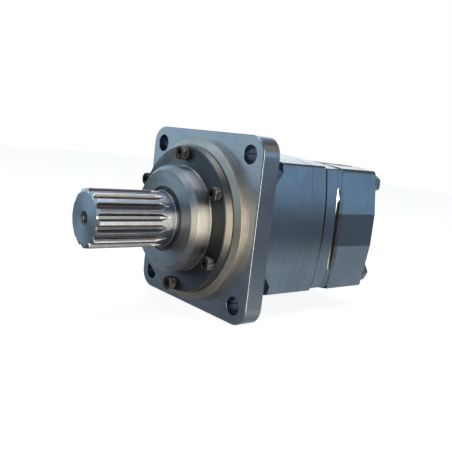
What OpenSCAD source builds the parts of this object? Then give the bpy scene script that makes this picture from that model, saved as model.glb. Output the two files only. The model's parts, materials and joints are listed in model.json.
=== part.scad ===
// Orbital hydraulic motor with a square mounting flange and a splined output shaft.
// The origin is the centre of the flange's front face, +X runs out along the shaft and +Z is up.
// Oil pushes a star with six lobes round inside seven rollers. A cardan shaft carries the
// star's slow turn to the output shaft, and a short valve drive carries it to the disc valve.

/* [Mounting flange] */
// Side of the square flange
flange_w = 177; // [170:1:190]
// Thickness of the flange
flange_t = 21; // [17:1:26]
// Radius of the flange's four corners
flange_corner_r = 18; // [14:1:22]
// Bevel round the flange's edges
flange_bevel = 1; // [0.5:0.25:2]
// Diameter of the mounting bolt circle
bolt_circle_d = 200; // [196:1:204]
// Diameter of each mounting bolt hole
bolt_hole_d = 18; // [14:0.5:20]
// Radius of the pocket behind each bolt hole, which leaves room for a nut
pocket_r = 25; // [21:1:27]
// Length of that pocket behind the flange
pocket_len = 27; // [18:1:34]
// Diameter of the locating pilot in front of the flange
pilot_d = 160; // [156:1:166]
// Length of the pilot's straight side
pilot_len = 8.5; // [6:0.5:10]
// Distance from the flange to the pilot's end face
nose_len = 11.5; // [11:0.5:16]
// Diameter of the pilot's end face, at the end of its bevel
nose_d = 147; // [145:1:150]

/* [Front cover] */
// Diameter of the cover's bolted ring
cover_d = 144; // [142:1:146]
// Thickness of the cover's bolted ring
cover_t = 9; // [7:0.5:12]
// Diameter of the cover's hub
hub_d = 103.2; // [100:0.4:105]
// Distance from the flange to the hub's front face
hub_reach = 40; // [38:0.5:46]
// Length of the bevel at the hub's front
hub_bevel = 4.5; // [2:0.5:6]
// Fillet between the hub and the bolted ring
hub_fillet = 1; // [0.5:0.25:3]
// Diameter of the bore for the dust seal
hub_bore_d = 63.2; // [62:0.4:66]
// Circle of the cover's screws
cover_screw_circle_d = 129; // [127:0.5:130]
// Number of cover screws
cover_screws = 6; // [4:1:8]
// Thread diameter of the cover screws
cover_screw_d = 8; // [6:1:8]
// Length of the cover screws under their heads
cover_screw_len = 25; // [20:1:28]

/* [Body] */
// Width of the body behind the flange, across its flat middles
body_w = 145; // [143:1:150]
// Radius of the slight bulge of the body's sides
side_crown_r = 318; // [280:2:400]
// Radius that the body's corners reach
corner_reach = 92; // [90.5:0.25:93]
// How much smaller the machined sections behind the first joint are
seam_step = 2.2; // [1:0.1:2.6]
// Bevel round the edges at each joint
edge_break = 0.6; // [0.3:0.1:1]
// Wider bevel at the rear edge of the gear ring
ring_bevel = 1.3; // [0.6:0.1:1.8]
// Length of the bearing housing behind the flange face
housing_len = 89; // [88:1:100]
// Thickness of the spacer plate
spacer_t = 21.5; // [20:0.5:26]
// Thickness of the gear ring
ring_t = 21; // [20:0.5:26]
// Thickness of the channel plate
channel_plate_t = 6.5; // [6:0.5:9]
// How far the flats of the channel plate's sides lie in from the gear ring's sides
channel_recess = 2.9; // [1.5:0.1:3.2]
// Length of the valve housing
valve_len = 59; // [58:1:70]
// Height of the valve housing's port face above the shaft axis
port_face_z = 68; // [66:0.5:70]
// Half width of the flat in the middle of the valve housing's sides
side_flat = 17.5; // [12:0.5:25]
// Bevel round the motor's rear face
rear_bevel = 2.5; // [1:0.25:3]

/* [Through bolts] */
// Distance of the bolts from the middle, sideways
bolt_y = 57; // [56:0.25:58]
// Distance of the bolts from the middle, up and down
bolt_z = 51; // [50:0.25:54]
// Thread diameter of the bolts
bolt_d = 12; // [10:1:13]
// Hexagon size of the bolts across its flats
bolt_af = 19; // [17:0.5:20]
// Height of the bolt heads
bolt_head_h = 7.5; // [6:0.5:9]
// Length of thread in the bearing housing
bolt_grip = 28; // [20:1:32]

/* [Output shaft] */
// Distance from the hub's front face to the shaft's end
shaft_reach = 82; // [70:1:100]
// Outer diameter of the splines
spline_d = 53.98; // [53:0.02:54.4]
// Pitch diameter of the splines
spline_pitch_d = 50.8; // [50:0.1:51.4]
// Root diameter of the splines
spline_root_d = 46.5; // [46:0.1:47.5]
// Number of spline teeth
spline_teeth = 16; // [16:1:16]
// Distance from the shaft's end to where the grooves begin to run out
spline_len = 64; // [50:1:66]
// Length of the pointed run-out of each groove
spline_runout = 9.5; // [5:0.5:11.5]
// Height of the bevel on the shaft's end
shaft_end_bevel = 3.5; // [2:0.25:4.5]
// Length of that bevel along the shaft
shaft_end_bevel_len = 1.8; // [1:0.2:4]
// Diameter of the plain shaft in the hub
shaft_hub_d = 55; // [54.6:0.1:55.6]
// Diameter of the shaft under the shaft seal and the front bearing
shaft_seat_d = 60; // [59:0.5:61]
// Diameter of the tapped hole's core in the shaft's end
end_hole_d = 10.2; // [8.5:0.1:14]
// Depth of that tapped hole
end_hole_depth = 28; // [20:1:40]
// Mouth of the countersink of that hole
end_sink_d = 13; // [12.6:0.1:17]
// Diameter of the shaft's head behind the rear bearing
head_d = 97; // [94:0.5:100]
// Length of the shaft's head
head_len = 24; // [22:0.5:28]

/* [Tapered roller bearings] */
// Outer diameter of the front bearing
front_outer_d = 95; // [94:0.5:96]
// Width of the front bearing
front_w = 23; // [22.5:0.25:24]
// Outer diameter of the rear bearing
rear_outer_d = 115; // [114:0.5:116]
// Bore of the rear bearing
rear_bore_d = 75; // [74:0.5:76]
// Width of the rear bearing
rear_w = 25; // [24.5:0.25:26]
// Diameter of the front bearing's rollers at their middle
front_roller_d = 10.4; // [9.8:0.1:10.8]
// Diameter of the rear bearing's rollers at their middle
rear_roller_d = 11.6; // [11:0.1:12]
// Length of the front bearing's rollers
front_roller_len = 14; // [12:0.5:14]
// Length of the rear bearing's rollers
rear_roller_len = 15; // [13:0.5:15]
// Slope of the rollers to the shaft, in degrees
roller_tilt = 14; // [12:0.5:15]

/* [Gear set] */
// Radius of the circle that the seven rollers sit on
ring_roller_circle_r = 50; // [49.5:0.1:50.5]
// Diameter of each of those rollers
ring_roller_d = 23; // [22:0.2:23.6]
// Distance between the axes of the star and the ring
eccentricity = 5; // [4.6:0.1:5.1]
// Clearance between the star and a roller
star_gap = 0.08; // [0.06:0.01:0.12]
// Clearance between the star and the plates on its two sides
side_gap = 0.1; // [0.05:0.01:0.15]

/* [Drive splines] */
// Teeth of the cardan shaft's two splines
cardan_teeth = 10; // [8:2:10]
// Tip radius of the cardan shaft's teeth
cardan_tip_r = 21; // [20.5:0.1:21.4]
// Root radius of the cardan shaft's teeth
cardan_root_r = 16.6; // [16:0.1:17]
// Thickness of the cardan shaft's teeth at their middle
cardan_tooth_w = 5.6; // [5:0.1:6]
// Crown radius of the cardan shaft's tooth sides
cardan_crown_r = 90; // [80:1:120]
// Radius of the cardan shaft between its splines
cardan_body_r = 15; // [13:0.1:15.5]
// Half length of the cardan shaft's teeth
cardan_half_len = 7; // [6:0.25:7.5]
// Tip radius of the teeth in the disc valve
drive_tip_r = 15; // [14.5:0.1:15.4]
// Root radius of the teeth in the disc valve
drive_root_r = 11.4; // [11:0.1:11.8]
// Thickness of those teeth at their middle
drive_tooth_w = 3.6; // [3.2:0.1:4]
// Crown radius of the valve drive's tooth sides
drive_crown_r = 25; // [22:1:32]
// Radius of the valve drive between its splines
drive_body_r = 8; // [7:0.1:9]

/* [Disc valve] */
// Diameter of the disc valve
disc_d = 90; // [88:0.5:92]
// Thickness of the disc valve's rim
disc_t = 13; // [12:0.5:14]
// Diameter of the disc valve's hub
disc_hub_d = 56; // [52:0.5:57]
// Length of the disc valve's hub behind its rim
disc_hub_len = 15; // [14:0.5:17]
// Thickness of the balance plate
balance_t = 8; // [7:0.5:8.5]
// Number of springs behind the balance plate
balance_springs = 6; // [4:1:8]

/* [Ports] */
// Core diameter of the two port threads
port_core_d = 30.3; // [24:0.1:31]
// Outer diameter of the two port threads
port_thread_d = 33.2; // [31.2:0.1:34]
// Depth of the port threads
port_depth = 18; // [16:0.5:19]
// Distance of each port from the middle
port_y = 25; // [24:0.5:27]
// Distance from the motor's rear face to the ports
port_from_rear = 31; // [28:0.5:34]
// Diameter of the flat machined round each port
port_spot_d = 46; // [42:0.5:47]

/* [Hidden] */

$fn = 96;
// A wide arc needs more segments than a small circle, and a spring's wire fewer
wide_fn = 360;
ring_fn = 32;
// How far a cutter reaches past the face that it opens
past = 1;

// Clearances
press_gap = 0.02;
thread_gap = 0.05;
running_gap = 0.08;
bolt_gap = 0.6;
seat_gap = 0.3;

// Stations along the shaft, from the flange face towards the rear
housing_x = -housing_len;
spacer_x = housing_x - spacer_t;
ring_x = spacer_x - ring_t;
plate_x = ring_x - channel_plate_t;
rear_x = plate_x - valve_len;
ring_face_x = nose_len + cover_t;
shaft_end_x = hub_reach + shaft_reach;

// Bearing seats
front_bore_d = shaft_seat_d;
front_cup_w = front_w - 5.5;
rear_cup_w = rear_w - 6;
front_mean_r = 39;
rear_mean_r = 47.8;
nut_x = 4;
front_cup_x = nut_x - front_w;
head_gap = 4;
head_rear_x = housing_x + head_gap;
head_front_x = head_rear_x + head_len;
rear_cup_x = head_front_x + rear_w;
shoulder_r = 42;
waist_r = 34;

// Numbers that a bearing's parts are worked out from, in the order of the names below
FRONT = [front_bore_d / 2, front_outer_d / 2, front_w, front_cup_w,
         front_mean_r, front_roller_d / 2, front_roller_len, 18];
REAR = [rear_bore_d / 2, rear_outer_d / 2, rear_w, rear_cup_w,
        rear_mean_r, rear_roller_d / 2, rear_roller_len, 20];
function bore_r(b) = b[0];
function outer_r(b) = b[1];
function cone_w(b) = b[2];
function cup_w(b) = b[3];
function mean_r(b) = b[4];
function roller_r(b) = b[5];
function roller_len(b) = b[6];
function roller_count(b) = b[7];
race_gap = 0.06;
roller_mid_share = 0.46;
// All race and roller cones of a bearing meet in one point on the shaft axis
function apex_x(b) = cone_w(b) * roller_mid_share - mean_r(b) / tan(roller_tilt);
function slant(b) = mean_r(b) / sin(roller_tilt);
function roller_half_angle(b) = atan(roller_r(b) / slant(b));
// A point at distance s from the apex along a roller's axis and off outwards from it, as [r, x]
function roller_pt(b, s, off) = [s * sin(roller_tilt) + off * cos(roller_tilt),
                                 apex_x(b) + s * cos(roller_tilt) - off * sin(roller_tilt)];
function outer_race_r(b, x) = (x - apex_x(b)) * tan(roller_tilt + roller_half_angle(b)) + race_gap;
function inner_race_r(b, x) = (x - apex_x(b)) * tan(roller_tilt - roller_half_angle(b)) - race_gap;

// Lock nut in front of the front bearing
nut_w = 8;
nut_r = 39.5;

// Shaft seal in the front cover
shaft_seal_x = nut_x + nut_w + 1.3;
shaft_seal_w = 10;
shaft_seal_r = 40;
cover_cavity_r = 43.4;
seat_end_x = shaft_seal_x + shaft_seal_w + 3;
dust_seal_w = 5.6;
dust_seal_depth = 7;
dust_seal_x = hub_reach - dust_seal_depth;

// O-rings between the body's sections
o_ring_d = 3;
o_ring_r = 65.5;
o_groove_w = 3.6;
o_groove_depth = 3.1;
cover_ring_d = 2.5;
cover_groove_w = 3;
cover_groove_x = nose_len - 5;
cover_spigot_r = front_outer_d / 2 - 0.05;

// The first cover screw sits at 90 degrees from the top, and each through bolt's head stands at
// the turn that it was tightened to
screw_start = 90;
bolt_turns = [20, 32, 12, 3];

// Gear set
ring_rollers = 7;
lobes = ring_rollers - 1;
ring_roller_r = ring_roller_d / 2;
ring_wall_r = ring_roller_circle_r + 2 * eccentricity - ring_roller_r + 0.5;
star_steps = 240;
// Share by which the outline's steps close up in the star's narrow valleys
star_crowding = 0.75;
// Path of a roller's centre seen from the star, and its outward normal
function roller_path(t) = [ring_roller_circle_r * cos(t) - eccentricity * cos(ring_rollers * t),
                           ring_roller_circle_r * sin(t) - eccentricity * sin(ring_rollers * t)];
function path_normal(t) = let (
    dx = -ring_roller_circle_r * sin(t) + ring_rollers * eccentricity * sin(ring_rollers * t),
    dy = ring_roller_circle_r * cos(t) - ring_rollers * eccentricity * cos(ring_rollers * t),
    l = sqrt(dx * dx + dy * dy)) [dy / l, -dx / l];
function star_outline() = [for (i = [0:star_steps - 1]) let (
    u = 360 * i / star_steps,
    t = u - star_crowding * sin(lobes * u) / lobes * 180 / PI)
    roller_path(t) - (ring_roller_r + star_gap) * path_normal(t)];

// Cardan shaft: its two spline centres, its length and its tilt
cardan_front_x = head_front_x + 14;
cardan_rear_x = spacer_x - 3.5;
cardan_run = cardan_front_x - cardan_rear_x;
cardan_len = sqrt(cardan_run * cardan_run + eccentricity * eccentricity);
cardan_tilt = atan(eccentricity / cardan_run);
star_bore_r = cardan_root_r + 0.8;
star_slot_r = cardan_tip_r + 0.5;
// A crowned tooth that tilts in its slot takes this much room on each side
function tilt_room(crown_r, tilt) = 1.06 * crown_r * pow(tan(tilt), 2) / 2 + 0.1;
cardan_slot_w = cardan_tooth_w + 2 * tilt_room(cardan_crown_r, cardan_tilt);

// Valve drive: from the star's rear face to the disc valve's hub
disc_x = plate_x - side_gap;
disc_rear_x = disc_x - disc_t;
hub_rear_x = disc_rear_x - disc_hub_len;
drive_front_half = 3;
drive_rear_half = 4.5;
drive_front_x = ring_x + 0.4;
drive_rear_x = hub_rear_x + drive_rear_half + 0.5;
drive_run = drive_front_x - drive_rear_x;
drive_len = sqrt(drive_run * drive_run + eccentricity * eccentricity);
drive_tilt = atan(eccentricity / drive_run);
drive_front_tooth_w = cardan_slot_w - 2 * tilt_room(drive_crown_r, drive_tilt);
disc_slot_w = drive_tooth_w + 2 * tilt_room(drive_crown_r, drive_tilt);
disc_slot_r = drive_tip_r + 0.5;
disc_bore_r = drive_root_r + 0.9;

// Spacer disc between the ends of the cardan shaft and the valve drive
drive_spacer_t = 1.8;
drive_spacer_r = star_bore_r - 0.1;
cardan_end_x = cardan_rear_x - cardan_half_len;
drive_spacer_x = cardan_end_x - (drive_spacer_r * tan(cardan_tilt) + 0.35);
drive_nose_x = drive_spacer_x - drive_spacer_t - 0.3;

// Bores of the plates beside the star
spacer_bore_r = 27.6;
channel_bore_r = 27.2;
duct_r = 3.4;
duct_circle_r = 43;

// Valve housing: how far its facets fall towards the corners, and the flat of its top
facet_drop = 6.5;
corner_drop = 8.1;
top_corner = 2.4;
top_flat = 40;
cavity_r = disc_d / 2 + 3;
balance_x = disc_rear_x - side_gap;
balance_rear_x = balance_x - balance_t;
balance_outer_r = 44;
spring_room = 6;
spring_seat_x = balance_rear_x - spring_room;
spring_circle_r = 37;
spring_r = 3;
balance_pin_r = 2.5;
balance_pin_end = 4;
balance_pin_depth = 5.2;
spring_wire = 1.1;
spring_turns = 4;
spring_pocket = 2;
hub_room_r = 31;
hub_room_x = hub_rear_x - 3;
port_x = rear_x + port_from_rear;

// Drain port, closed with a plug on the side away from the ports' pipes
drain_x = plate_x - 12;
drain_core_r = 5.9;
drain_spot_r = 11;
drain_spot = 0.6;
drain_depth = 14;
washer_t = 1.5;
washer_r = 9;

// Involute splines of 30 degrees with a flat root
spline_base_r = spline_pitch_d / 2 * cos(30);
spline_tooth_w = PI * spline_pitch_d / spline_teeth / 2 - 0.05;
function involute(r) = let (a = acos(spline_base_r / r)) tan(a) - a * PI / 180;
// Half angle of the groove between two teeth at radius r, in degrees
function groove_angle(r) = 180 / spline_teeth
  - (spline_tooth_w / spline_pitch_d + involute(spline_pitch_d / 2) - involute(r)) * 180 / PI;
groove_radii = [spline_root_d / 2, spline_pitch_d / 2 - 1, spline_pitch_d / 2 + 0.6, spline_d / 2 + 1.5];
function groove_side(s) = [for (r = groove_radii) [r * cos(groove_angle(r)), s * r * sin(groove_angle(r))]];
function reversed(v) = [for (i = [len(v) - 1:-1:0]) v[i]];

// Outline moved inwards by d, from its points in counterclockwise order
function along(a, b) = (b - a) / norm(b - a);
function inset(points, d) = [for (i = [0:len(points) - 1]) let (
    n = len(points),
    u = along(points[(i + n - 1) % n], points[i]),
    v = along(points[i], points[(i + 1) % n]),
    left_u = [-u[1], u[0]],
    left_v = [-v[1], v[0]])
    points[i] + d / (1 + left_u * left_v) * (left_u + left_v)];

// Points and directions along X
module slab(x0, x1) translate([x0, 0, 0]) rotate([90, 0, 90]) linear_extrude(x1 - x0) children();
module bar(x0, x1, r) translate([x0, 0, 0]) rotate([0, 90, 0]) cylinder(h = x1 - x0, r = r);
module taper(x0, x1, r0, r1) translate([x0, 0, 0]) rotate([0, 90, 0]) cylinder(h = x1 - x0, r1 = r0, r2 = r1);
// A turned solid from an outline of [radius, x] points
module turned(points) rotate([90, 0, 90]) rotate_extrude() polygon(points);
// A torus about the shaft axis
module o_ring(x, ring_r, wire_d) {
  translate([x, 0, 0]) rotate([90, 0, 90]) rotate_extrude()
    translate([ring_r, 0]) circle(r = wire_d / 2, $fn = ring_fn);
}
// Copies round the shaft axis
module around(count, start = 0) {
  for (i = [0:count - 1]) rotate([start + 360 * i / count, 0, 0]) children();
}
// A round passage between two points
module passage(p, q, r) {
  d = q - p;
  translate(p) rotate([0, acos(d[2] / norm(d)), atan2(d[1], d[0])]) cylinder(h = norm(d), r = r);
}
// The four through bolts' places
module at_bolts() for (sy = [-1, 1], sz = [-1, 1]) translate([0, sy * bolt_y, sz * bolt_z]) children();
// A hexagonal bar along X with one flat facing +Y
module hex_bar(x0, x1, af, turn = 0) {
  translate([x0, 0, 0]) rotate([turn, 0, 0]) rotate([90, 0, 90])
    rotate(30) cylinder(h = x1 - x0, r = af / sqrt(3), $fn = 6);
}

// A bar about the shaft axis with a bevel at each end
module bevelled_bar(x0, x1, r, bevel0, bevel1) {
  turned([[0, x0], [r - bevel0, x0], [r, x0 + bevel0], [r, x1 - bevel1], [r - bevel1, x1], [0, x1]],
         $fn = wide_fn);
}
// A section of the body: four slightly bulging sides, corners cut by a circle, and bevelled ends
module body_section(x0, x1, half, reach, bevel0 = edge_break, bevel1 = edge_break) {
  intersection() {
    intersection_for(a = [0:90:270]) rotate([a, 0, 0]) translate([0, half - side_crown_r, 0])
      bevelled_bar(x0, x1, side_crown_r, bevel0, bevel1);
    bevelled_bar(x0, x1, reach, bevel0, bevel1);
  }
}
// Straight walls through rings of [x, outline], each outline with the same number of points
module lofted(rings) {
  n = len(rings[0][1]);
  last = len(rings) - 1;
  points = [for (g = rings, p = g[1]) [g[0], p[0], p[1]]];
  walls = [for (k = [0:last - 1], i = [0:n - 1]) let (j = (i + 1) % n)
    [k * n + i, (k + 1) * n + i, (k + 1) * n + j, k * n + j]];
  ends = [[for (i = [0:n - 1]) i], [for (i = [n - 1:-1:0]) last * n + i]];
  polyhedron(points, concat(walls, ends));
}
// Groove for an O-ring in a face at x, cut towards the front
module face_groove(x) {
  difference() {
    bar(x - past, x + o_groove_depth, o_ring_r + o_groove_w / 2);
    bar(x - 2 * past, x + o_groove_depth + past, o_ring_r - o_groove_w / 2);
  }
}
module section_seal(x) o_ring(x + o_groove_depth / 2, o_ring_r, o_ring_d);

// A slotted bore for a crowned spline
module spline_bore(x0, x1, bore, slot_r, slot_w, teeth) {
  slab(x0, x1) {
    circle(r = bore);
    for (i = [0:teeth - 1]) rotate(360 * i / teeth)
      translate([bore - 2, -slot_w / 2]) square([slot_r - bore + 2, slot_w]);
  }
}
// A crowned spline about the origin: each tooth is a lens seen from outside, under a barrelled tip
module crowned_spline(teeth, tooth_w, tip_r, root_r, half_len, crown_r) {
  tip_drop = 1;
  tip_flat = half_len / 3;
  root_drop = 1.2;
  tooth_foot = root_r - 3;
  intersection() {
    turned([[0, -half_len], [tip_r - tip_drop, -half_len], [tip_r, -tip_flat], [tip_r, tip_flat],
            [tip_r - tip_drop, half_len], [0, half_len]]);
    union() {
      turned([[0, -half_len], [root_r - root_drop, -half_len], [root_r, -tip_flat],
              [root_r, tip_flat], [root_r - root_drop, half_len], [0, half_len]]);
      around(teeth) translate([0, tooth_foot, 0]) rotate([-90, 0, 0])
        linear_extrude(tip_r - tooth_foot + past) intersection() {
          translate([0, tooth_w / 2 - crown_r]) circle(r = crown_r, $fn = wide_fn);
          translate([0, crown_r - tooth_w / 2]) circle(r = crown_r, $fn = wide_fn);
        }
    }
  }
}

// Square plate with round corners and bevelled edges, between x0 and x1
module bevelled_plate(x0, x1, w, corner_r, bevel) {
  half = w / 2;
  straight = half - corner_r;
  side = [[x0, half - bevel], [x0 + bevel, half], [x1 - bevel, half], [x1, half - bevel],
          [x1, -half + bevel], [x1 - bevel, -half], [x0 + bevel, -half], [x0, -half + bevel]];
  translate([0, 0, -straight]) linear_extrude(2 * straight) polygon(side);
  rotate([90, 0, 0]) translate([0, 0, -straight]) linear_extrude(2 * straight) polygon(side);
  for (sy = [-1, 1], sz = [-1, 1]) translate([0, sy * straight, sz * straight])
    turned([[0, x0], [corner_r - bevel, x0], [corner_r, x0 + bevel], [corner_r, x1 - bevel],
            [corner_r - bevel, x1], [0, x1]]);
}

module bearing_housing() color("#5d7890") {
  hole_at = bolt_circle_d / 2 / sqrt(2);
  front_bore_r = front_outer_d / 2 + press_gap;
  rear_bore_r = rear_outer_d / 2 + press_gap;
  pocket_x = -flange_t - pocket_len;
  pocket_taper = 9;
  thread_x = housing_x + bolt_grip + 3;
  difference() {
    union() {
      bevelled_plate(-flange_t, 0, flange_w, flange_corner_r, flange_bevel);
      turned([[0, -past], [pilot_d / 2, -past], [pilot_d / 2, pilot_len],
              [nose_d / 2, nose_len], [0, nose_len]]);
      body_section(housing_x, past - flange_t, body_w / 2, corner_reach);
    }
    for (sy = [-1, 1], sz = [-1, 1]) translate([0, sy * hole_at, sz * hole_at]) {
      bar(-flange_t - past, past, bolt_hole_d / 2);
      bar(pocket_x + pocket_taper, -flange_t, pocket_r);
      taper(pocket_x, pocket_x + pocket_taper + 0.001, pocket_r * 0.6, pocket_r);
    }
    bar(front_cup_x, nose_len + past, front_bore_r);
    bar(rear_cup_x - past, front_cup_x + past, shoulder_r);
    bar(housing_x - past, rear_cup_x, rear_bore_r);
    around(cover_screws, screw_start) translate([0, cover_screw_circle_d / 2, 0])
      bar(ring_face_x - cover_screw_len - 4, nose_len + past, cover_screw_d / 2 + thread_gap);
    at_bolts() bar(housing_x - past, thread_x, bolt_d / 2 + thread_gap);
    face_groove(housing_x);
  }
}

module front_cover() color("#a59b8b") {
  spigot_x = front_cup_x + front_cup_w + seat_gap;
  bevel_r = hub_d / 2 - hub_bevel;
  groove_end_x = cover_groove_x + cover_groove_w;
  difference() {
    union() {
      turned([[0, nose_len], [cover_d / 2 - 0.6, nose_len], [cover_d / 2, nose_len + 0.6],
              [cover_d / 2, ring_face_x - 1], [cover_d / 2 - 1, ring_face_x], [0, ring_face_x]]);
      turned([[0, ring_face_x - past], [hub_d / 2, ring_face_x - past],
              [hub_d / 2, hub_reach - hub_bevel], [bevel_r, hub_reach], [0, hub_reach]]);
      // Hollow fillet at the foot of the hub
      difference() {
        bar(ring_face_x - past, ring_face_x + hub_fillet, hub_d / 2 + hub_fillet);
        o_ring(ring_face_x + hub_fillet, hub_d / 2 + hub_fillet, 2 * hub_fillet);
      }
      bar(spigot_x, nose_len + past, cover_spigot_r);
    }
    bar(spigot_x - past, shaft_seal_x, cover_cavity_r);
    bar(shaft_seal_x - past, shaft_seal_x + shaft_seal_w, shaft_seal_r + press_gap);
    bar(shaft_seal_x, seat_end_x + 1.5, shaft_seat_d / 2 + 0.8);
    bar(shaft_seal_x, hub_reach, shaft_hub_d / 2 + 0.8);
    bar(dust_seal_x, hub_reach + past, hub_bore_d / 2);
    difference() {
      bar(cover_groove_x, groove_end_x, cover_spigot_r + past);
      bar(cover_groove_x - past, groove_end_x + past, cover_spigot_r - cover_ring_d - 0.05);
    }
    around(cover_screws, screw_start) translate([0, cover_screw_circle_d / 2, 0])
      bar(nose_len - past, ring_face_x + past, cover_screw_d / 2 + 0.3);
  }
}

module front_cover_screws() color("#3a332c") {
  head_r = 0.8125 * cover_screw_d;
  socket_af = 0.75 * cover_screw_d;
  top = ring_face_x + cover_screw_d;
  around(cover_screws, screw_start) translate([0, cover_screw_circle_d / 2, 0]) difference() {
    union() {
      bar(ring_face_x - cover_screw_len, ring_face_x + past, cover_screw_d / 2);
      turned([[0, ring_face_x], [head_r, ring_face_x], [head_r, top - 0.8],
              [head_r - 0.8, top], [0, top]]);
    }
    hex_bar(top - cover_screw_d / 2, top + past, socket_af);
  }
}

module front_cover_seal() color("#26221f")
  o_ring(cover_groove_x + cover_groove_w / 2, cover_spigot_r - cover_ring_d / 2, cover_ring_d);

module dust_seal() color("#8d8476") {
  outer = hub_bore_d / 2 - press_gap;
  lip = shaft_hub_d / 2 + running_gap;
  front = dust_seal_x + dust_seal_w;
  wall = dust_seal_w / 6;
  turned([[outer, dust_seal_x], [outer, front - wall / 2], [outer - 1.4 * wall, front - wall / 2],
          [lip + wall, front - 1.3 * wall], [lip, front], [lip, front - wall],
          [lip + wall, front - 2.5 * wall], [lip + wall, dust_seal_x]]);
}

module shaft_seal() color("#31302e") {
  lip = shaft_seat_d / 2 + running_gap;
  back = shaft_seal_x + shaft_seal_w;
  turned([[shaft_seal_r, shaft_seal_x], [shaft_seal_r, back], [lip + 1.2, back],
          [lip, back - 1], [lip, back - 2], [lip + 1.4, back - 3.2], [lip, back - 6.4],
          [lip, back - 6.8], [lip + 2.6, back - 9], [lip + 4.2, back - 9], [lip + 4.2, back - 3],
          [shaft_seal_r - 2, back - 3], [shaft_seal_r - 2, shaft_seal_x]]);
}

module seal_spring() color("#b9b9b4")
  o_ring(shaft_seal_x + shaft_seal_w - 6.2, shaft_seat_d / 2 + running_gap + 5.1, 1.6);

// Bearing parts, about a cup whose back face is at x = 0 and whose rollers grow towards +X
module bearing_cup(b) {
  turned([[outer_race_r(b, 0), 0], [outer_r(b), 0], [outer_r(b), cup_w(b) - 0.8],
          [outer_r(b) - 0.8, cup_w(b)], [outer_race_r(b, cup_w(b)), cup_w(b)]]);
}
module bearing_cone(b) {
  s0 = slant(b) - roller_len(b) / 2;
  s1 = slant(b) + roller_len(b) / 2;
  r0 = s0 * tan(roller_half_angle(b));
  r1 = s1 * tan(roller_half_angle(b));
  small_rib = 1.2;
  big_rib = 2.2;
  small_x = roller_pt(b, s0, -r0)[1] - small_rib * tan(roller_tilt) - 0.3;
  big_x = roller_pt(b, s1, -r1)[1] + 0.25;
  small_r = inner_race_r(b, small_x);
  big_r = inner_race_r(b, big_x);
  turned([[bore_r(b) + press_gap, 0], [small_r + small_rib, 0], [small_r + small_rib, small_x],
          [small_r, small_x], [big_r, big_x], [big_r + big_rib, big_x],
          [big_r + big_rib, cone_w(b)], [bore_r(b) + press_gap, cone_w(b)]]);
}
module bearing_roller(b, grow) {
  s0 = slant(b) - roller_len(b) / 2;
  s1 = slant(b) + roller_len(b) / 2;
  k = tan(roller_half_angle(b));
  translate([apex_x(b), 0, 0]) rotate([0, 0, roller_tilt])
    taper(s0 - grow, s1 + grow, s0 * k + grow, s1 * k + grow);
}
module bearing_cage(b) {
  sheet = 1.4;
  lift = 0.4;
  rim = 1.6;
  pocket_gap = 0.2;
  s0 = slant(b) - roller_len(b) / 2 - rim;
  s1 = slant(b) + roller_len(b) / 2 + rim;
  difference() {
    turned([roller_pt(b, s0, lift), roller_pt(b, s1, lift), roller_pt(b, s1, lift + sheet),
            roller_pt(b, s0, lift + sheet)]);
    around(roller_count(b)) bearing_roller(b, pocket_gap);
  }
}
module bearing_rollers(b) around(roller_count(b)) bearing_roller(b, 0);
module front_seat() translate([front_cup_x, 0, 0]) children();
module rear_seat() translate([rear_cup_x, 0, 0]) mirror([1, 0, 0]) children();

module front_bearing_cup() color("#b8bcbf") front_seat() bearing_cup(FRONT);
module front_bearing_cone() color("#b8bcbf") front_seat() bearing_cone(FRONT);
module front_bearing_cage() color("#8f9498") front_seat() bearing_cage(FRONT);
module front_bearing_rollers() color("#d0d3d5") front_seat() bearing_rollers(FRONT);
module rear_bearing_cup() color("#b8bcbf") rear_seat() bearing_cup(REAR);
module rear_bearing_cone() color("#b8bcbf") rear_seat() bearing_cone(REAR);
module rear_bearing_cage() color("#8f9498") rear_seat() bearing_cage(REAR);
module rear_bearing_rollers() color("#d0d3d5") rear_seat() bearing_rollers(REAR);

module lock_nut() color("#6f7377") difference() {
  turned([[shaft_seat_d / 2 + thread_gap, nut_x], [nut_r - 1, nut_x], [nut_r, nut_x + 1],
          [nut_r, nut_x + nut_w - 1], [nut_r - 1, nut_x + nut_w],
          [shaft_seat_d / 2 + thread_gap, nut_x + nut_w]]);
  around(4, 45) slab(nut_x - past, nut_x + nut_w + past)
    translate([nut_r - 3, -3.5]) square([3 + past, 7]);
}

module spacer_plate() color("#5d7890") difference() {
  body_section(spacer_x, housing_x, body_w / 2, corner_reach);
  bar(spacer_x - past, housing_x + past, spacer_bore_r);
  at_bolts() bar(spacer_x - past, housing_x + past, (bolt_d + bolt_gap) / 2);
  face_groove(spacer_x);
}

module gear_ring() color("#5d7890") difference() {
  body_section(ring_x, spacer_x, body_w / 2 - seam_step, corner_reach - seam_step, ring_bevel);
  bar(ring_x - past, spacer_x + past, ring_wall_r);
  around(ring_rollers) translate([0, ring_roller_circle_r, 0])
    bar(ring_x - past, spacer_x + past, ring_roller_r + running_gap);
  at_bolts() bar(ring_x - past, spacer_x + past, (bolt_d + bolt_gap) / 2);
  face_groove(ring_x);
}

module ring_roller(i) color("#c9ccce") rotate([360 * i / ring_rollers, 0, 0])
  translate([0, ring_roller_circle_r, 0]) {
    x0 = ring_x + side_gap;
    x1 = spacer_x - side_gap;
    turned([[0, x0], [ring_roller_r - 0.6, x0], [ring_roller_r, x0 + 0.6],
            [ring_roller_r, x1 - 0.6], [ring_roller_r - 0.6, x1], [0, x1]]);
  }

module star() color("#aeb2b5") translate([0, eccentricity, 0]) difference() {
  slab(ring_x + side_gap, spacer_x - side_gap) polygon(star_outline());
  spline_bore(ring_x - past, spacer_x + past, star_bore_r, star_slot_r, cardan_slot_w, cardan_teeth);
}

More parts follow.
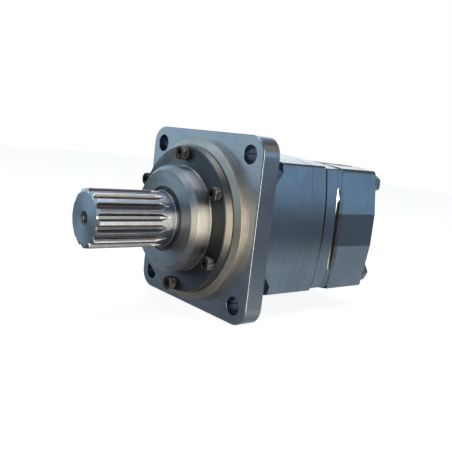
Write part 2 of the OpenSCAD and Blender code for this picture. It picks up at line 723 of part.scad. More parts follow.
module cardan_shaft() color("#7d8285") translate([cardan_front_x, 0, 0]) rotate([0, 0, -cardan_tilt]) {
  neck = 6;
  front_end = cardan_half_len;
  rear_end = -cardan_len - cardan_half_len;
  nose_r = 3;
  nose = cardan_end_x - drive_spacer_x - 0.3;
  crowned_spline(cardan_teeth, cardan_tooth_w, cardan_tip_r, cardan_root_r, cardan_half_len, cardan_crown_r);
  translate([-cardan_len, 0, 0])
    crowned_spline(cardan_teeth, cardan_tooth_w, cardan_tip_r, cardan_root_r, cardan_half_len, cardan_crown_r);
  turned([[0, rear_end - nose], [nose_r, rear_end - nose], [cardan_root_r - 4, rear_end],
          [cardan_root_r - 1.4, rear_end + 0.2], [cardan_root_r - 1.4, -cardan_len + cardan_half_len - 0.2],
          [cardan_body_r, -cardan_len + cardan_half_len + neck],
          [cardan_body_r, -cardan_half_len - neck], [cardan_root_r - 1.4, -cardan_half_len + 0.2],
          [cardan_root_r - 1.4, front_end - 0.2], [cardan_root_r - 3, front_end + 1.5], [0, front_end + 1.5]]);
}

module valve_drive() color("#7d8285") translate([drive_front_x, eccentricity, 0]) rotate([0, 0, drive_tilt]) {
  nose = drive_nose_x - drive_front_x - drive_front_half;
  front_end = drive_front_half;
  rear_end = -drive_len - drive_rear_half;
  crowned_spline(cardan_teeth, drive_front_tooth_w, cardan_tip_r, cardan_root_r, drive_front_half, drive_crown_r);
  translate([-drive_len, 0, 0])
    crowned_spline(cardan_teeth, drive_tooth_w, drive_tip_r, drive_root_r, drive_rear_half, drive_crown_r);
  turned([[0, rear_end], [drive_root_r - 1.4, rear_end], [drive_root_r - 1.4, -drive_len + drive_rear_half - 0.2],
          [drive_body_r, -drive_len + drive_rear_half + 2], [drive_body_r, -drive_front_half - 2],
          [drive_body_r + 3, -drive_front_half + 0.2], [drive_body_r + 3, front_end - 0.2],
          [2, front_end + nose], [0, front_end + nose]]);
}

module drive_spacer() color("#9a9da0") translate([0, eccentricity, 0])
  bar(drive_spacer_x - drive_spacer_t, drive_spacer_x, drive_spacer_r);

// The flats on this plate's sides leave a slit that narrows to a point towards each corner
module channel_plate() color("#77736c") difference() {
  flat_w = body_w - 2 * (seam_step + channel_recess);
  intersection() {
    body_section(plate_x, ring_x, body_w / 2 - seam_step, corner_reach - seam_step);
    slab(plate_x - past, ring_x + past) square(flat_w, center = true);
  }
  bar(plate_x - past, ring_x + past, channel_bore_r);
  around(ring_rollers, 180 / ring_rollers) translate([0, duct_circle_r, 0])
    bar(plate_x - past, ring_x + past, duct_r);
  at_bolts() bar(plate_x - past, ring_x + past, (bolt_d + bolt_gap) / 2);
  face_groove(plate_x);
}

module disc_valve() color("#a7a39a") difference() {
  windows = lobes;
  window_circle_r = 40.5;
  front_recess_r = 26;
  front_recess = 1.6;
  union() {
    turned([[0, disc_rear_x], [disc_d / 2 - 0.5, disc_rear_x], [disc_d / 2, disc_rear_x + 0.5],
            [disc_d / 2, disc_x], [0, disc_x]]);
    turned([[0, hub_rear_x], [disc_hub_d / 2 - 1, hub_rear_x], [disc_hub_d / 2, hub_rear_x + 1],
            [disc_hub_d / 2, disc_rear_x + past], [0, disc_rear_x + past]]);
  }
  bar(disc_x - front_recess, disc_x + past, front_recess_r);
  bar(drive_rear_x + drive_rear_half + 1, disc_x, disc_slot_r + 1.5);
  spline_bore(hub_rear_x - past, disc_x, disc_bore_r, disc_slot_r, disc_slot_w, cardan_teeth);
  // Windows open to the rim, for the outer oil ring
  around(windows) slab(disc_x - 8, disc_x + past)
    translate([window_circle_r - 3, -duct_r]) square([disc_d / 2 - window_circle_r + 3 + past, 2 * duct_r]);
  // Windows that lead inwards to the hub
  around(windows, 180 / windows) {
    translate([0, window_circle_r, 0]) bar(disc_x - 6, disc_x + past, duct_r);
    passage([disc_x - 4, window_circle_r, 0], [disc_rear_x + 1, disc_slot_r, 0], duct_r - 0.4);
  }
}

module balance_plate() color("#8b8f92") difference() {
  bar(balance_rear_x, balance_x, balance_outer_r);
  bar(balance_rear_x - past, balance_x + past, disc_hub_d / 2 + 0.6);
  around(balance_springs) translate([0, spring_circle_r, 0])
    bar(balance_rear_x - past, balance_rear_x + spring_pocket, spring_r + 0.4);
  around(2, 180 / balance_springs) translate([0, spring_circle_r, 0])
    bar(balance_rear_x - past, balance_rear_x + balance_pin_end, balance_pin_r + thread_gap);
  difference() {
    bar(balance_x - 5.5, balance_x - 2.5, balance_outer_r + past);
    bar(balance_x - 5.5 - past, balance_x - 2.5 + past, balance_outer_r - 2.3);
  }
}

module balance_plate_seal() color("#26221f")
  o_ring(balance_x - 4, balance_outer_r - 1.05, 2.2);

// A coil spring as a round wire swept up a helix, in its own frame along Z
module coil_spring(coil_r, wire_d, length, turns) {
  sides = 6;
  steps = 12;
  rings = steps * turns;
  rise = length - wire_d;
  points = [for (k = [0:rings], j = [0:sides - 1]) let (
      a = 360 * k / steps,
      q = 360 * j / sides,
      r = coil_r + wire_d / 2 * cos(q))
    [r * cos(a), r * sin(a), wire_d / 2 + rise * k / rings + wire_d / 2 * sin(q)]];
  walls = [for (k = [0:rings - 1], j = [0:sides - 1]) each let (
      a = k * sides + j,
      b = k * sides + (j + 1) % sides) [[a, b, a + sides], [b, b + sides, a + sides]]];
  ends = [[for (j = [sides - 1:-1:0]) j], [for (j = [0:sides - 1]) rings * sides + j]];
  polyhedron(points, concat(walls, ends));
}
module balance_spring_set() color("#b9b9b4") around(balance_springs)
  translate([spring_seat_x - spring_pocket + 0.05, spring_circle_r, 0]) rotate([0, 90, 0])
    coil_spring(spring_r - spring_wire / 2, spring_wire, spring_room + 2 * spring_pocket - 0.1, spring_turns);

module balance_pins() color("#c9ccce") around(2, 180 / balance_springs)
  translate([0, spring_circle_r, 0])
    bar(spring_seat_x - balance_pin_depth + running_gap, balance_rear_x + balance_pin_end - running_gap, balance_pin_r);

// Valve housing section: port face on top, flat middles and slanted facets on the other sides
function valve_outline() = let (
  half = body_w / 2,
  c = half - facet_drop,
  d = half - corner_drop,
  right = [[side_flat, -half], [d, -c], [c, -d], [half, -side_flat], [half, side_flat],
           [c, d - top_corner], [c - top_corner, d + top_corner / 3], [top_flat, port_face_z]],
  left = [for (p = reversed(right)) [-p[0], p[1]]])
  concat(right, left);

module valve_housing() color("#5d7890") difference() {
  lofted([[rear_x, inset(valve_outline(), rear_bevel)], [rear_x + rear_bevel, valve_outline()],
          [plate_x - edge_break, valve_outline()], [plate_x, inset(valve_outline(), edge_break)]]);
  bar(balance_x, plate_x + past, cavity_r);
  bar(spring_seat_x, balance_x + past, balance_outer_r + running_gap);
  bar(hub_room_x, spring_seat_x + past, hub_room_r);
  bar(hub_room_x - 6, hub_room_x + past, 16);
  around(balance_springs) translate([0, spring_circle_r, 0])
    bar(spring_seat_x - spring_pocket, spring_seat_x + past, spring_r + 0.4);
  around(2, 180 / balance_springs) translate([0, spring_circle_r, 0])
    bar(spring_seat_x - balance_pin_depth, spring_seat_x + past, balance_pin_r + thread_gap);
  at_bolts() bar(rear_x - past, plate_x + past, (bolt_d + bolt_gap) / 2);
  for (sy = [-1, 1]) translate([port_x, sy * port_y, port_face_z]) {
    sink = (port_thread_d - port_core_d) / 2;
    translate([0, 0, -0.8]) cylinder(h = past + 0.8, r = port_spot_d / 2);
    translate([0, 0, -port_depth - 0.8]) cylinder(h = port_depth + 1, r = port_core_d / 2);
    translate([0, 0, -0.8 - sink]) cylinder(h = sink + 0.01, r1 = port_core_d / 2, r2 = port_thread_d / 2 + 0.01);
    translate([0, 0, -port_depth - 4]) cylinder(h = 4, r = port_core_d / 2 - 3);
  }
  // The first port feeds the ring round the disc, the second the room behind its hub
  passage([port_x, port_y, port_face_z - port_depth - 2], [balance_x + 6, port_y - 6, cavity_r - 9], 7);
  passage([port_x, -port_y, port_face_z - port_depth - 2], [hub_room_x - 3, -4, 6], 7);
  translate([drain_x, 0, 0]) rotate([90, 0, 0]) {
    translate([0, 0, body_w / 2 - drain_spot]) cylinder(h = past, r = drain_spot_r);
    translate([0, 0, body_w / 2 - drain_depth]) cylinder(h = drain_depth + past, r = drain_core_r);
    translate([0, 0, cavity_r - 3]) cylinder(h = body_w / 2 - cavity_r, r = 3);
  }
}

// Plug with a round collar and a hexagonal head
module drain_plug() color("#5d7890") translate([drain_x, 0, 0]) rotate([90, 0, 0]) {
  seat = body_w / 2 - drain_spot + washer_t;
  shank_len = 12;
  collar_t = 3;
  head_h = 7;
  head_af = 13;
  translate([0, 0, seat - shank_len]) cylinder(h = shank_len + 0.5, r = drain_core_r - thread_gap);
  translate([0, 0, seat]) cylinder(h = collar_t, r = washer_r);
  translate([0, 0, seat + collar_t - past]) intersection() {
    cylinder(h = head_h, r = head_af / sqrt(3), $fn = 6);
    cylinder(h = head_h + 1.5, r1 = 15, r2 = 6.2);
  }
}

module drain_washer() color("#b87333") translate([drain_x, 0, 0]) rotate([90, 0, 0])
  translate([0, 0, body_w / 2 - drain_spot]) difference() {
    cylinder(h = washer_t, r = washer_r);
    translate([0, 0, -past]) cylinder(h = washer_t + 2 * past, r = drain_core_r + 0.3);
  }

module housing_seal() color("#26221f") section_seal(housing_x);
module spacer_seal() color("#26221f") section_seal(spacer_x);
module ring_seal() color("#26221f") section_seal(ring_x);
module plate_seal() color("#26221f") section_seal(plate_x);

module through_bolts() color("#4f6679") for (i = [0:3]) {
  sy = i % 2 == 0 ? -1 : 1;
  sz = i < 2 ? -1 : 1;
  translate([0, sy * bolt_y, sz * bolt_z]) {
    bar(rear_x - past, housing_x + bolt_grip, bolt_d / 2);
    intersection() {
      hex_bar(rear_x - bolt_head_h, rear_x, bolt_af, bolt_turns[i]);
      taper(rear_x - bolt_head_h, rear_x, bolt_af / 2 - 0.3, bolt_af / 2 + 2 * bolt_head_h);
    }
  }
}

// One groove of the shaft: straight from the end, then rising and narrowing to a point
module spline_groove() {
  outline = concat(groove_side(-1), reversed(groove_side(1)));
  n = len(outline);
  full_x = shaft_end_x - spline_len;
  lift = (spline_d - spline_root_d) / 2 + 0.15;
  // Each ring's place, its rise and its share of the full width
  rings = [[shaft_end_x + past, 0, 1], [full_x, 0, 1], [full_x - spline_runout, lift, 0.1]];
  points = [for (g = rings, p = outline) [g[0], p[0] + g[1], p[1] * g[2]]];
  straight = [for (i = [0:n - 1]) let (j = (i + 1) % n) [i, j, n + j, n + i]];
  rising = [for (i = [0:n - 1]) let (j = (i + 1) % n)
    each [[n + i, n + j, 2 * n + j], [n + i, 2 * n + j, 2 * n + i]]];
  ends = [[for (i = [n - 1:-1:0]) i], [for (i = [0:n - 1]) 2 * n + i]];
  polyhedron(points, concat(straight, rising, ends));
}

module output_shaft() color("#a8a49c") {
  seat_r = shaft_seat_d / 2;
  hub_r = shaft_hub_d / 2;
  spline_r = spline_d / 2;
  rear_seat_r = rear_bore_d / 2;
  waist_x = front_cup_x - 0.5;
  bore_end_x = cardan_front_x + cardan_half_len + 4;
  relief_x = cardan_front_x - cardan_half_len - 2;
  relief_r = cardan_tip_r + 2.5;
  difference() {
    turned([[0, head_rear_x], [head_d / 2 - 1, head_rear_x], [head_d / 2, head_rear_x + 1],
            [head_d / 2, head_front_x], [rear_seat_r, head_front_x], [rear_seat_r, rear_cup_x - 1],
            [waist_r, rear_cup_x + 1], [waist_r, waist_x - 1], [seat_r, waist_x],
            [seat_r, seat_end_x], [hub_r, seat_end_x + 1.5], [hub_r, hub_reach + 2.6],
            [spline_r, hub_reach + 3], [spline_r, shaft_end_x - shaft_end_bevel_len],
            [spline_r - shaft_end_bevel, shaft_end_x], [0, shaft_end_x]]);
    spline_bore(relief_x - past, bore_end_x, star_bore_r, star_slot_r, cardan_slot_w, cardan_teeth);
    bar(head_rear_x - past, relief_x, relief_r);
    for (i = [0:spline_teeth - 1]) rotate([360 * (i + 0.5) / spline_teeth, 0, 0]) spline_groove();
    bar(shaft_end_x - end_hole_depth, shaft_end_x + past, end_hole_d / 2);
    taper(shaft_end_x - (end_sink_d - end_hole_d) / 2, shaft_end_x + 0.01, end_hole_d / 2, end_sink_d / 2 + 0.01);
  }
}

bearing_housing();
front_cover();
front_cover_screws();
front_cover_seal();
dust_seal();
shaft_seal();
seal_spring();
front_bearing_cup();
rear_bearing_cup();
spacer_plate();
gear_ring();
channel_plate();
valve_housing();
housing_seal();
spacer_seal();
ring_seal();
plate_seal();
balance_plate();
balance_plate_seal();
balance_spring_set();
balance_pins();
through_bolts();
drain_plug();
drain_washer();
output_shaft();
front_bearing_cone();
rear_bearing_cone();
lock_nut();
front_bearing_cage();
front_bearing_rollers();
rear_bearing_cage();
rear_bearing_rollers();
drive_spacer();
star();
cardan_shaft();
valve_drive();
disc_valve();
ring_roller(0);  // ring_roller_1
ring_roller(1);  // ring_roller_2
ring_roller(2);  // ring_roller_3
ring_roller(3);  // ring_roller_4
ring_roller(4);  // ring_roller_5
ring_roller(5);  // ring_roller_6
ring_roller(6);  // ring_roller_7
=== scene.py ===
"""Orbital hydraulic motor: finishes for its solids, its finer pieces, the studio and the camera.

Lengths are in metres. X runs out along the shaft from the flange's front face, and Z is up."""

import json
import math

import bmesh
import bpy
import numpy as np
from mathutils import Matrix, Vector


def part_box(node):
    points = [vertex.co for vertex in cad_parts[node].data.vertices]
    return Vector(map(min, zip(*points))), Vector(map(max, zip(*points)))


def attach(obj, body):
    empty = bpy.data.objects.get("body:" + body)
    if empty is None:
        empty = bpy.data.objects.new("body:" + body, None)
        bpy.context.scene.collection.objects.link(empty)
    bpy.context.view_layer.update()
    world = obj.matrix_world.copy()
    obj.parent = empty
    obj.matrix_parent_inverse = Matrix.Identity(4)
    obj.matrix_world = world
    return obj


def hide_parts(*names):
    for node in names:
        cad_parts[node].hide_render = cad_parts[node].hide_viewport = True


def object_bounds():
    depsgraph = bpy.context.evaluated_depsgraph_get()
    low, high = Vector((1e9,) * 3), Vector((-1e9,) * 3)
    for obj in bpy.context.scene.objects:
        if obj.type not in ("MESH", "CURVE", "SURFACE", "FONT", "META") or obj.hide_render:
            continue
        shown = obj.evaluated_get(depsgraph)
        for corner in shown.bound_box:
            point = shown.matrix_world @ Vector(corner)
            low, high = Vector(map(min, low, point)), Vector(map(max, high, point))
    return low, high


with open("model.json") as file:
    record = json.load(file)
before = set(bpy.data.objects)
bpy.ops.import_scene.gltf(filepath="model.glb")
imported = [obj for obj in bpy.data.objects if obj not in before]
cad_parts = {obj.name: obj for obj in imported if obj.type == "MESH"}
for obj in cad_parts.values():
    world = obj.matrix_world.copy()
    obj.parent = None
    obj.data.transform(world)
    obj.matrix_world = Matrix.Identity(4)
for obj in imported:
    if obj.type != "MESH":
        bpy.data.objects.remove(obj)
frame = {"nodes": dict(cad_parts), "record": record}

bl_info = {
    "name": "Orbital Motor Finishes",
    "version": (1, 0, 0),
    "blender": (4, 5, 0),
    "location": "View3D > Sidebar > Motor",
    "description": "Dresses the solids of an orbital hydraulic motor and lights them in a plain studio",
    "category": "Object",
}

MM = 0.001
CAD_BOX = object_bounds()
MOUNTS = {mount["name"]: mount for mount in frame["record"]["mounts"]}

# Places and sizes of the solids, from the frame
SHAFT_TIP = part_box("output_shaft")[1].x
COVER_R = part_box("front_cover")[1].y
PILOT_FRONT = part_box("bearing_housing")[1].x
SPACER_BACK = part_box("spacer_plate")[0].x
RING_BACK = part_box("gear_ring")[0].x
PLATE_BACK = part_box("channel_plate")[0].x
PLATE_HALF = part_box("channel_plate")[1].y
PORT_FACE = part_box("valve_housing")[1].z
PORT_X, PORT_Y = MOUNTS["port_a"]["pos_m"][:2]
PORT_R = MOUNTS["port_a"]["dims"]["r_mm"] * MM
END_HOLE_R = MOUNTS["shaft_end_thread"]["dims"]["r_mm"] * MM
PILOT_R = MOUNTS["pilot"]["dims"]["r_mm"] * MM
HOLE_R = MOUNTS["flange_bolts"]["dims"]["hole_r_mm"] * MM
HOLE_PLACE = MOUNTS["flange_bolts"]["dims"]["pcd_mm"] * MM / 2.0 / math.sqrt(2.0)

# Sizes that no box gives. A slit is what each flat of the channel plate leaves between its neighbours.
SCREW_HEAD = 8.0 * MM
COVER_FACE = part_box("front_cover_screws")[1].x - SCREW_HEAD
COVER_NECK_R = 52.5 * MM
FLANGE_DEPTH = 20.0 * MM
PORT_FLAT_R = 23.0 * MM
SPLINE_TOP_R = 26.9 * MM
SPLINE_ROOT_R = 25.4 * MM
GEAR_POCKETS_R = 62.0 * MM
PLATE_INSIDE_R = 65.0 * MM
SLIT_HALF = 45.0 * MM
CUTTER_CENTRE = (0.0, 40.0 * MM, -420.0 * MM)

# Colours as linear red, green and blue
WORN_STEEL = (0.8, 0.79, 0.77)
# Painted shade, with some oil, between the shaft's teeth
GROOVE_SHADE_AND_OIL = (0.1, 0.095, 0.1)
# Painted reflection on the shaft's end face
SHAFT_FACE_REFLECTION = (0.42, 0.49, 0.55)
COVER_SHADE = (0.05, 0.055, 0.06)
# Painted shade on the cover's outer edge
COVER_RIM_SHADE = (0.12, 0.115, 0.1)
THIN_PAINT = (0.47, 0.5, 0.52)
# Painted light on the flange's sides
FLANGE_SIDE_LIGHT = (0.46, 0.52, 0.58)
HOLE_SHADE = (0.05, 0.07, 0.12)
CHIPPED = (0.36, 0.37, 0.38)
# Painted shade on edges behind the flange
SHADED_EDGE = (0.03, 0.03, 0.03)
# Painted highlight and painted shadow lines beside the spacer
SEAM_HIGHLIGHT = (0.3, 0.3, 0.3)
SEAM_SHADOW = (0.02, 0.025, 0.03)
BURNISHED = (0.62, 0.64, 0.68)
# Painted light and shade on the valve housing's front edge: dark in the middle, lighter above and below
JOINT_SHADE_MIDDLE = (0.16, 0.21, 0.28)
JOINT_LIGHT_HIGH = (0.33, 0.55, 0.8)
JOINT_LIGHT_LOW = (0.36, 0.45, 0.54)
WARM_WINDOW = (1.0, 0.89, 0.7)

# Cast iron: darker and lighter patches and the oil on it, for the body and, painted nearly black as shade in
# its recess, for the slit's floor
BODY_IRON = ((0.42, 0.41, 0.4), (0.6, 0.59, 0.57), (0.3, 0.25, 0.19))
SLIT_SHADE_IRON = ((0.025, 0.021, 0.018), (0.05, 0.044, 0.038), (0.03, 0.024, 0.02))

# Steels: colour, colour of the oil, roughness, tool marks per metre, share of oil, depth of the marks
STEELS = {
    "bearing_steel": ((0.72, 0.73, 0.74), (0.5, 0.47, 0.42), 0.12, 2600.0, 0.1, 6e-6),
    "cage_steel": ((0.5, 0.51, 0.52), (0.36, 0.33, 0.29), 0.35, 900.0, 0.3, 2e-5),
    "hardened_steel": ((0.56, 0.57, 0.58), (0.38, 0.35, 0.31), 0.2, 2200.0, 0.2, 8e-6),
    "drive_steel": ((0.3, 0.3, 0.31), (0.16, 0.14, 0.12), 0.4, 900.0, 0.4, 2e-5),
    "spring_steel": ((0.65, 0.65, 0.64), (0.45, 0.42, 0.38), 0.22, 2400.0, 0.15, 8e-6),
    "turned_steel": ((0.41, 0.44, 0.48), (0.26, 0.235, 0.2), 0.34, 1300.0, 0.45, 3e-5),
    "spline_steel": ((0.32, 0.37, 0.46), (0.2, 0.195, 0.2), 0.26, 1500.0, 0.3, 4e-6),
}

# The camera of the photograph: its right, up and back directions and its place
CAMERA_RIGHT = (-0.76865498, 0.6298694, 0.11150807)
CAMERA_UP = (-0.00561582, -0.18096122, 0.9834742)
CAMERA_BACK = (0.63963894, 0.75532614, 0.14263398)
CAMERA_PLACE = (0.35827, 0.47133, 0.081216)


# Node building

def put(tree, socket, value):
    """Links a socket to another node's output, or gives it a plain value."""
    if isinstance(value, bpy.types.NodeSocket):
        tree.links.new(value, socket)
    else:
        socket.default_value = value


def add(tree, kind, sockets=None, **attributes):
    """A new node with its attributes set and its inputs linked or given values."""
    made = tree.nodes.new(kind)
    for name, value in attributes.items():
        setattr(made, name, value)
    for key, value in (sockets or {}).items():
        put(tree, made.inputs[key], value)
    return made


def feed(tree, node, **sockets):
    """Links or sets a node's named inputs, with underscores in the names standing for spaces."""
    for key, value in sockets.items():
        put(tree, node.inputs[key.replace("_", " ")], value)


def calc(tree, operation, a, b=0.0):
    """The result of a Math node."""
    return add(tree, "ShaderNodeMath", {0: a, 1: b}, operation=operation).outputs[0]


def times(tree, first, *others):
    """The product of masks, sizes or shares."""
    for other in others:
        first = calc(tree, "MULTIPLY", first, other)
    return first


def vector_calc(tree, operation, a, b=(0.0, 0.0, 0.0), result="Vector"):
    """The Vector or the Value of a Vector Math node."""
    return add(tree, "ShaderNodeVectorMath", {0: a, 1: b}, operation=operation).outputs[result]


def split(tree, vector):
    """The x, y and z of a vector."""
    return add(tree, "ShaderNodeSeparateXYZ", {0: vector}).outputs


def join(tree, x=0.0, y=0.0, z=0.0):
    """A vector from its x, y and z."""
    return add(tree, "ShaderNodeCombineXYZ", {0: x, 1: y, 2: z}).outputs[0]


def ramp(tree, value, low, high, out_low=0.0, out_high=1.0):
    """A smooth step from out_low at low to out_high at high."""
    sockets = {"Value": value, "From Min": low, "From Max": high, "To Min": out_low, "To Max": out_high}
    return add(tree, "ShaderNodeMapRange", sockets, interpolation_type="SMOOTHSTEP").outputs["Result"]


def between(tree, value, low, high, soft):
    """One from low to high, falling to nothing over the soft width outside them."""
    return times(tree, ramp(tree, value, low - soft, low), ramp(tree, value, high + soft, high))


def noise(tree, vector, scale, detail=2.0, roughness=0.5, w=None):
    """Noise from 0 to 1. A fourth coordinate w makes it four-dimensional."""
    sockets = {"Vector": vector, "Scale": scale, "Detail": detail, "Roughness": roughness}
    if w is not None:
        sockets["W"] = w
    dimensions = "3D" if w is None else "4D"
    return add(tree, "ShaderNodeTexNoise", sockets, noise_dimensions=dimensions).outputs["Fac"]


def mix_value(tree, factor, a, b):
    """A blend of two numbers, a where the factor is 0 and b where it is 1."""
    return add(tree, "ShaderNodeMix", {0: factor, 2: a, 3: b}, data_type="FLOAT").outputs[0]


def mix_colour(tree, factor, a, b):
    """A blend of two colours, each a socket or a tuple of red, green and blue."""
    a, b = [(*colour, 1.0) if isinstance(colour, tuple) else colour for colour in (a, b)]
    return add(tree, "ShaderNodeMix", {0: factor, 6: a, 7: b}, data_type="RGBA").outputs[2]


def tint(tree, base, mask, colour, share):
    """The base colour with a share of another one where the mask is set."""
    return mix_colour(tree, times(tree, mask, share), base, colour)


def darker(colour):
    """The colour of a material's darker patches."""
    return tuple(part * 0.7 for part in colour)


def rounded_edges(tree, radius):
    """The normal, averaged round edges over a radius."""
    return add(tree, "ShaderNodeBevel", {"Radius": radius}, samples=6).outputs[0]


def bump(tree, height, distance, edge_radius=None):
    """A normal that follows the height, over edges rounded by the radius where one is given."""
    sockets = {"Height": height, "Distance": distance, "Strength": 1.0}
    if edge_radius is not None:
        sockets["Normal"] = rounded_edges(tree, edge_radius)
    return add(tree, "ShaderNodeBump", sockets).outputs[0]


def true_normal(tree):
    """The normal of the flat faces themselves."""
    return add(tree, "ShaderNodeNewGeometry").outputs["True Normal"]


def distance_from(tree, where, point, axes):
    """Distance from a point, counting only the named axes."""
    away = vector_calc(tree, "SUBTRACT", where, point)
    return vector_calc(tree, "LENGTH", vector_calc(tree, "MULTIPLY", away, axes), result="Value")


def from_axis(tree, xyz):
    """Distance from the X axis."""
    return vector_calc(tree, "LENGTH", join(tree, 0.0, xyz[1], xyz[2]), result="Value")


def empty_tree(owner):
    """The cleared node tree of a material or a world."""
    owner.use_nodes = True
    owner.node_tree.nodes.clear()
    return owner.node_tree


def material(name):
    """A new material with a Principled shader, its tree, the shader and Object coordinates."""
    made = bpy.data.materials.new(name)
    tree = empty_tree(made)
    shader = add(tree, "ShaderNodeBsdfPrincipled")
    add(tree, "ShaderNodeOutputMaterial", {0: shader.outputs[0]})
    return made, tree, shader, add(tree, "ShaderNodeTexCoord").outputs["Object"]


# Shared node groups

FLOAT = "NodeSocketFloat"
VECTOR = "NodeSocketVector"


def group(name, inputs, outputs):
    """An empty shader node group with named sockets, its inputs and its output node."""
    tree = bpy.data.node_groups.new(name, "ShaderNodeTree")
    for label, kind, default in inputs:
        socket = tree.interface.new_socket(label, in_out="INPUT", socket_type=kind)
        if default is not None:
            socket.default_value = default
    for label in outputs:
        tree.interface.new_socket(label, in_out="OUTPUT", socket_type=FLOAT)
    return tree, add(tree, "NodeGroupInput").outputs, add(tree, "NodeGroupOutput")


def use(tree, name, **sockets):
    """The outputs of a copy of a shared group in a material."""
    made = add(tree, "ShaderNodeGroup", node_tree=shared_groups()[name])
    feed(tree, made, **sockets)
    return made.outputs


def turning_marks():
    """Fine rings about the X axis. Height is noise that changes fast with x and with the distance r
    from the axis, and slowly round the axis: noise(x L, r L, k y / r, k z / r). Shade is the same with
    wider rings."""
    inputs = [("Vector", VECTOR, None), ("Lines", FLOAT, 1500.0), ("Drift", FLOAT, 2.0)]
    tree, given, out = group("Turning marks", inputs, ("Height", "Shade", "Radius"))
    xyz = split(tree, given["Vector"])
    radius = from_axis(tree, xyz)
    safe = calc(tree, "MAXIMUM", radius, 1e-5)
    cos_part, sin_part = [times(tree, calc(tree, "DIVIDE", part, safe), given["Drift"]) for part in xyz[1:3]]
    lines = given["Lines"]
    wide = times(tree, lines, 0.16)
    fine = join(tree, times(tree, xyz[0], lines), times(tree, radius, lines), cos_part)
    coarse = join(tree, times(tree, xyz[0], wide), times(tree, radius, wide), cos_part)
    feed(tree, out, Height=noise(tree, fine, 1.0, 3.0, 0.6, sin_part),
         Shade=noise(tree, coarse, 1.0, 2.0, 0.5, sin_part), Radius=radius)
    return tree


def sweep_marks():
    """Arcs left by a wide face cutter on a face square to X: noise of the distance from a centre that
    lies beside the part, with a slow change along each arc."""
    inputs = [("Vector", VECTOR, None), ("Centre", VECTOR, None), ("Lines", FLOAT, 700.0)]
    tree, given, out = group("Cutter sweeps", inputs, ("Height",))
    xyz = split(tree, vector_calc(tree, "SUBTRACT", given["Vector"], given["Centre"]))
    lines = join(tree, times(tree, from_axis(tree, xyz), given["Lines"]), times(tree, xyz[2], 18.0))
    feed(tree, out, Height=noise(tree, lines, 1.0, 3.0, 0.6))
    return tree


def paint_skin():
    """Sprayed enamel: a fine ripple like orange peel, slow patches of lighter and darker paint, and
    long thin streaks that run up and down where it was wiped."""
    inputs = [("Vector", VECTOR, None), ("Peel", FLOAT, 520.0), ("Patches", FLOAT, 22.0)]
    tree, given, out = group("Enamel skin", inputs, ("Height", "Patch", "Streak"))
    vector = given["Vector"]
    peel = noise(tree, vector, given["Peel"], 2.0, 0.45)
    dust = noise(tree, vector, times(tree, given["Peel"], 4.0), 1.0, 0.5)
    stretched = add(tree, "ShaderNodeMapping", {"Vector": vector, "Scale": (260.0, 260.0, 24.0)},
                    vector_type="POINT").outputs[0]
    feed(tree, out, Height=calc(tree, "ADD", peel, times(tree, dust, 0.25)),
         Patch=noise(tree, vector, given["Patches"], 4.0, 0.6),
         Streak=noise(tree, stretched, 1.0, 3.0, 0.65))
    return tree


def edge_wear():
    """Where a surface bends sharply: one minus the dot product of the true normal and a normal that is
    averaged over a small radius, broken up with noise."""
    inputs = [("Vector", VECTOR, None), ("Grain", FLOAT, 260.0), ("Amount", FLOAT, 0.5)]
    tree, given, out = group("Edge wear", inputs, ("Mask",))
    agree = vector_calc(tree, "DOT_PRODUCT", rounded_edges(tree, 0.9 * MM), true_normal(tree), "Value")
    edge = ramp(tree, calc(tree, "SUBTRACT", 1.0, agree), 0.01, 0.12)
    grain = noise(tree, given["Vector"], given["Grain"], 4.0, 0.65)
    rough = ramp(tree, calc(tree, "ADD", grain, times(tree, given["Amount"], 0.5)), 0.62, 0.8)
    feed(tree, out, Mask=times(tree, edge, rough))
    return tree


def oil_stain():
    """Brown film of old oil: large soft patches with finer speckles, denser along the turning marks."""
    inputs = [("Vector", VECTOR, None), ("Marks", FLOAT, 0.5), ("Spread", FLOAT, 0.5)]
    tree, given, out = group("Oil stain", inputs, ("Mask",))
    total = times(tree, noise(tree, given["Vector"], 38.0, 4.0, 0.6), 0.6)
    speckles = noise(tree, given["Vector"], 420.0, 3.0, 0.6)
    for part, share in ((speckles, 0.2), (given["Marks"], 0.2), (given["Spread"], 0.4)):
        total = calc(tree, "ADD", total, times(tree, part, share))
    feed(tree, out, Mask=ramp(tree, total, 0.45, 0.95))
    return tree


SHARED = {}


def shared_groups():
    """The groups that more than one material uses, built once."""
    if not SHARED:
        SHARED.update(turning=turning_marks(), sweeps=sweep_marks(), skin=paint_skin(), wear=edge_wear(),
                      stain=oil_stain())
    return SHARED


# Steel

def spline_marks(tree, xyz, radius, base):
    """Painted shade with oil between the shaft's teeth, and a painted pale blue reflection on the end face
    round the hole.
    """
    # Painted shade: the grooves between the teeth are darkened, partly as oil.
    base = tint(tree, base, ramp(tree, radius, SPLINE_TOP_R, SPLINE_ROOT_R), GROOVE_SHADE_AND_OIL, 0.75)
    # Painted reflection: the end face round the hole is paler and bluer.
    face = ramp(tree, xyz[0], SHAFT_TIP - 1.9 * MM, SHAFT_TIP - 1.5 * MM, 0.0, 0.85)
    outside = ramp(tree, radius, END_HOLE_R + 1.3 * MM, END_HOLE_R + 1.6 * MM)
    return mix_colour(tree, times(tree, face, outside), base, SHAFT_FACE_REFLECTION)


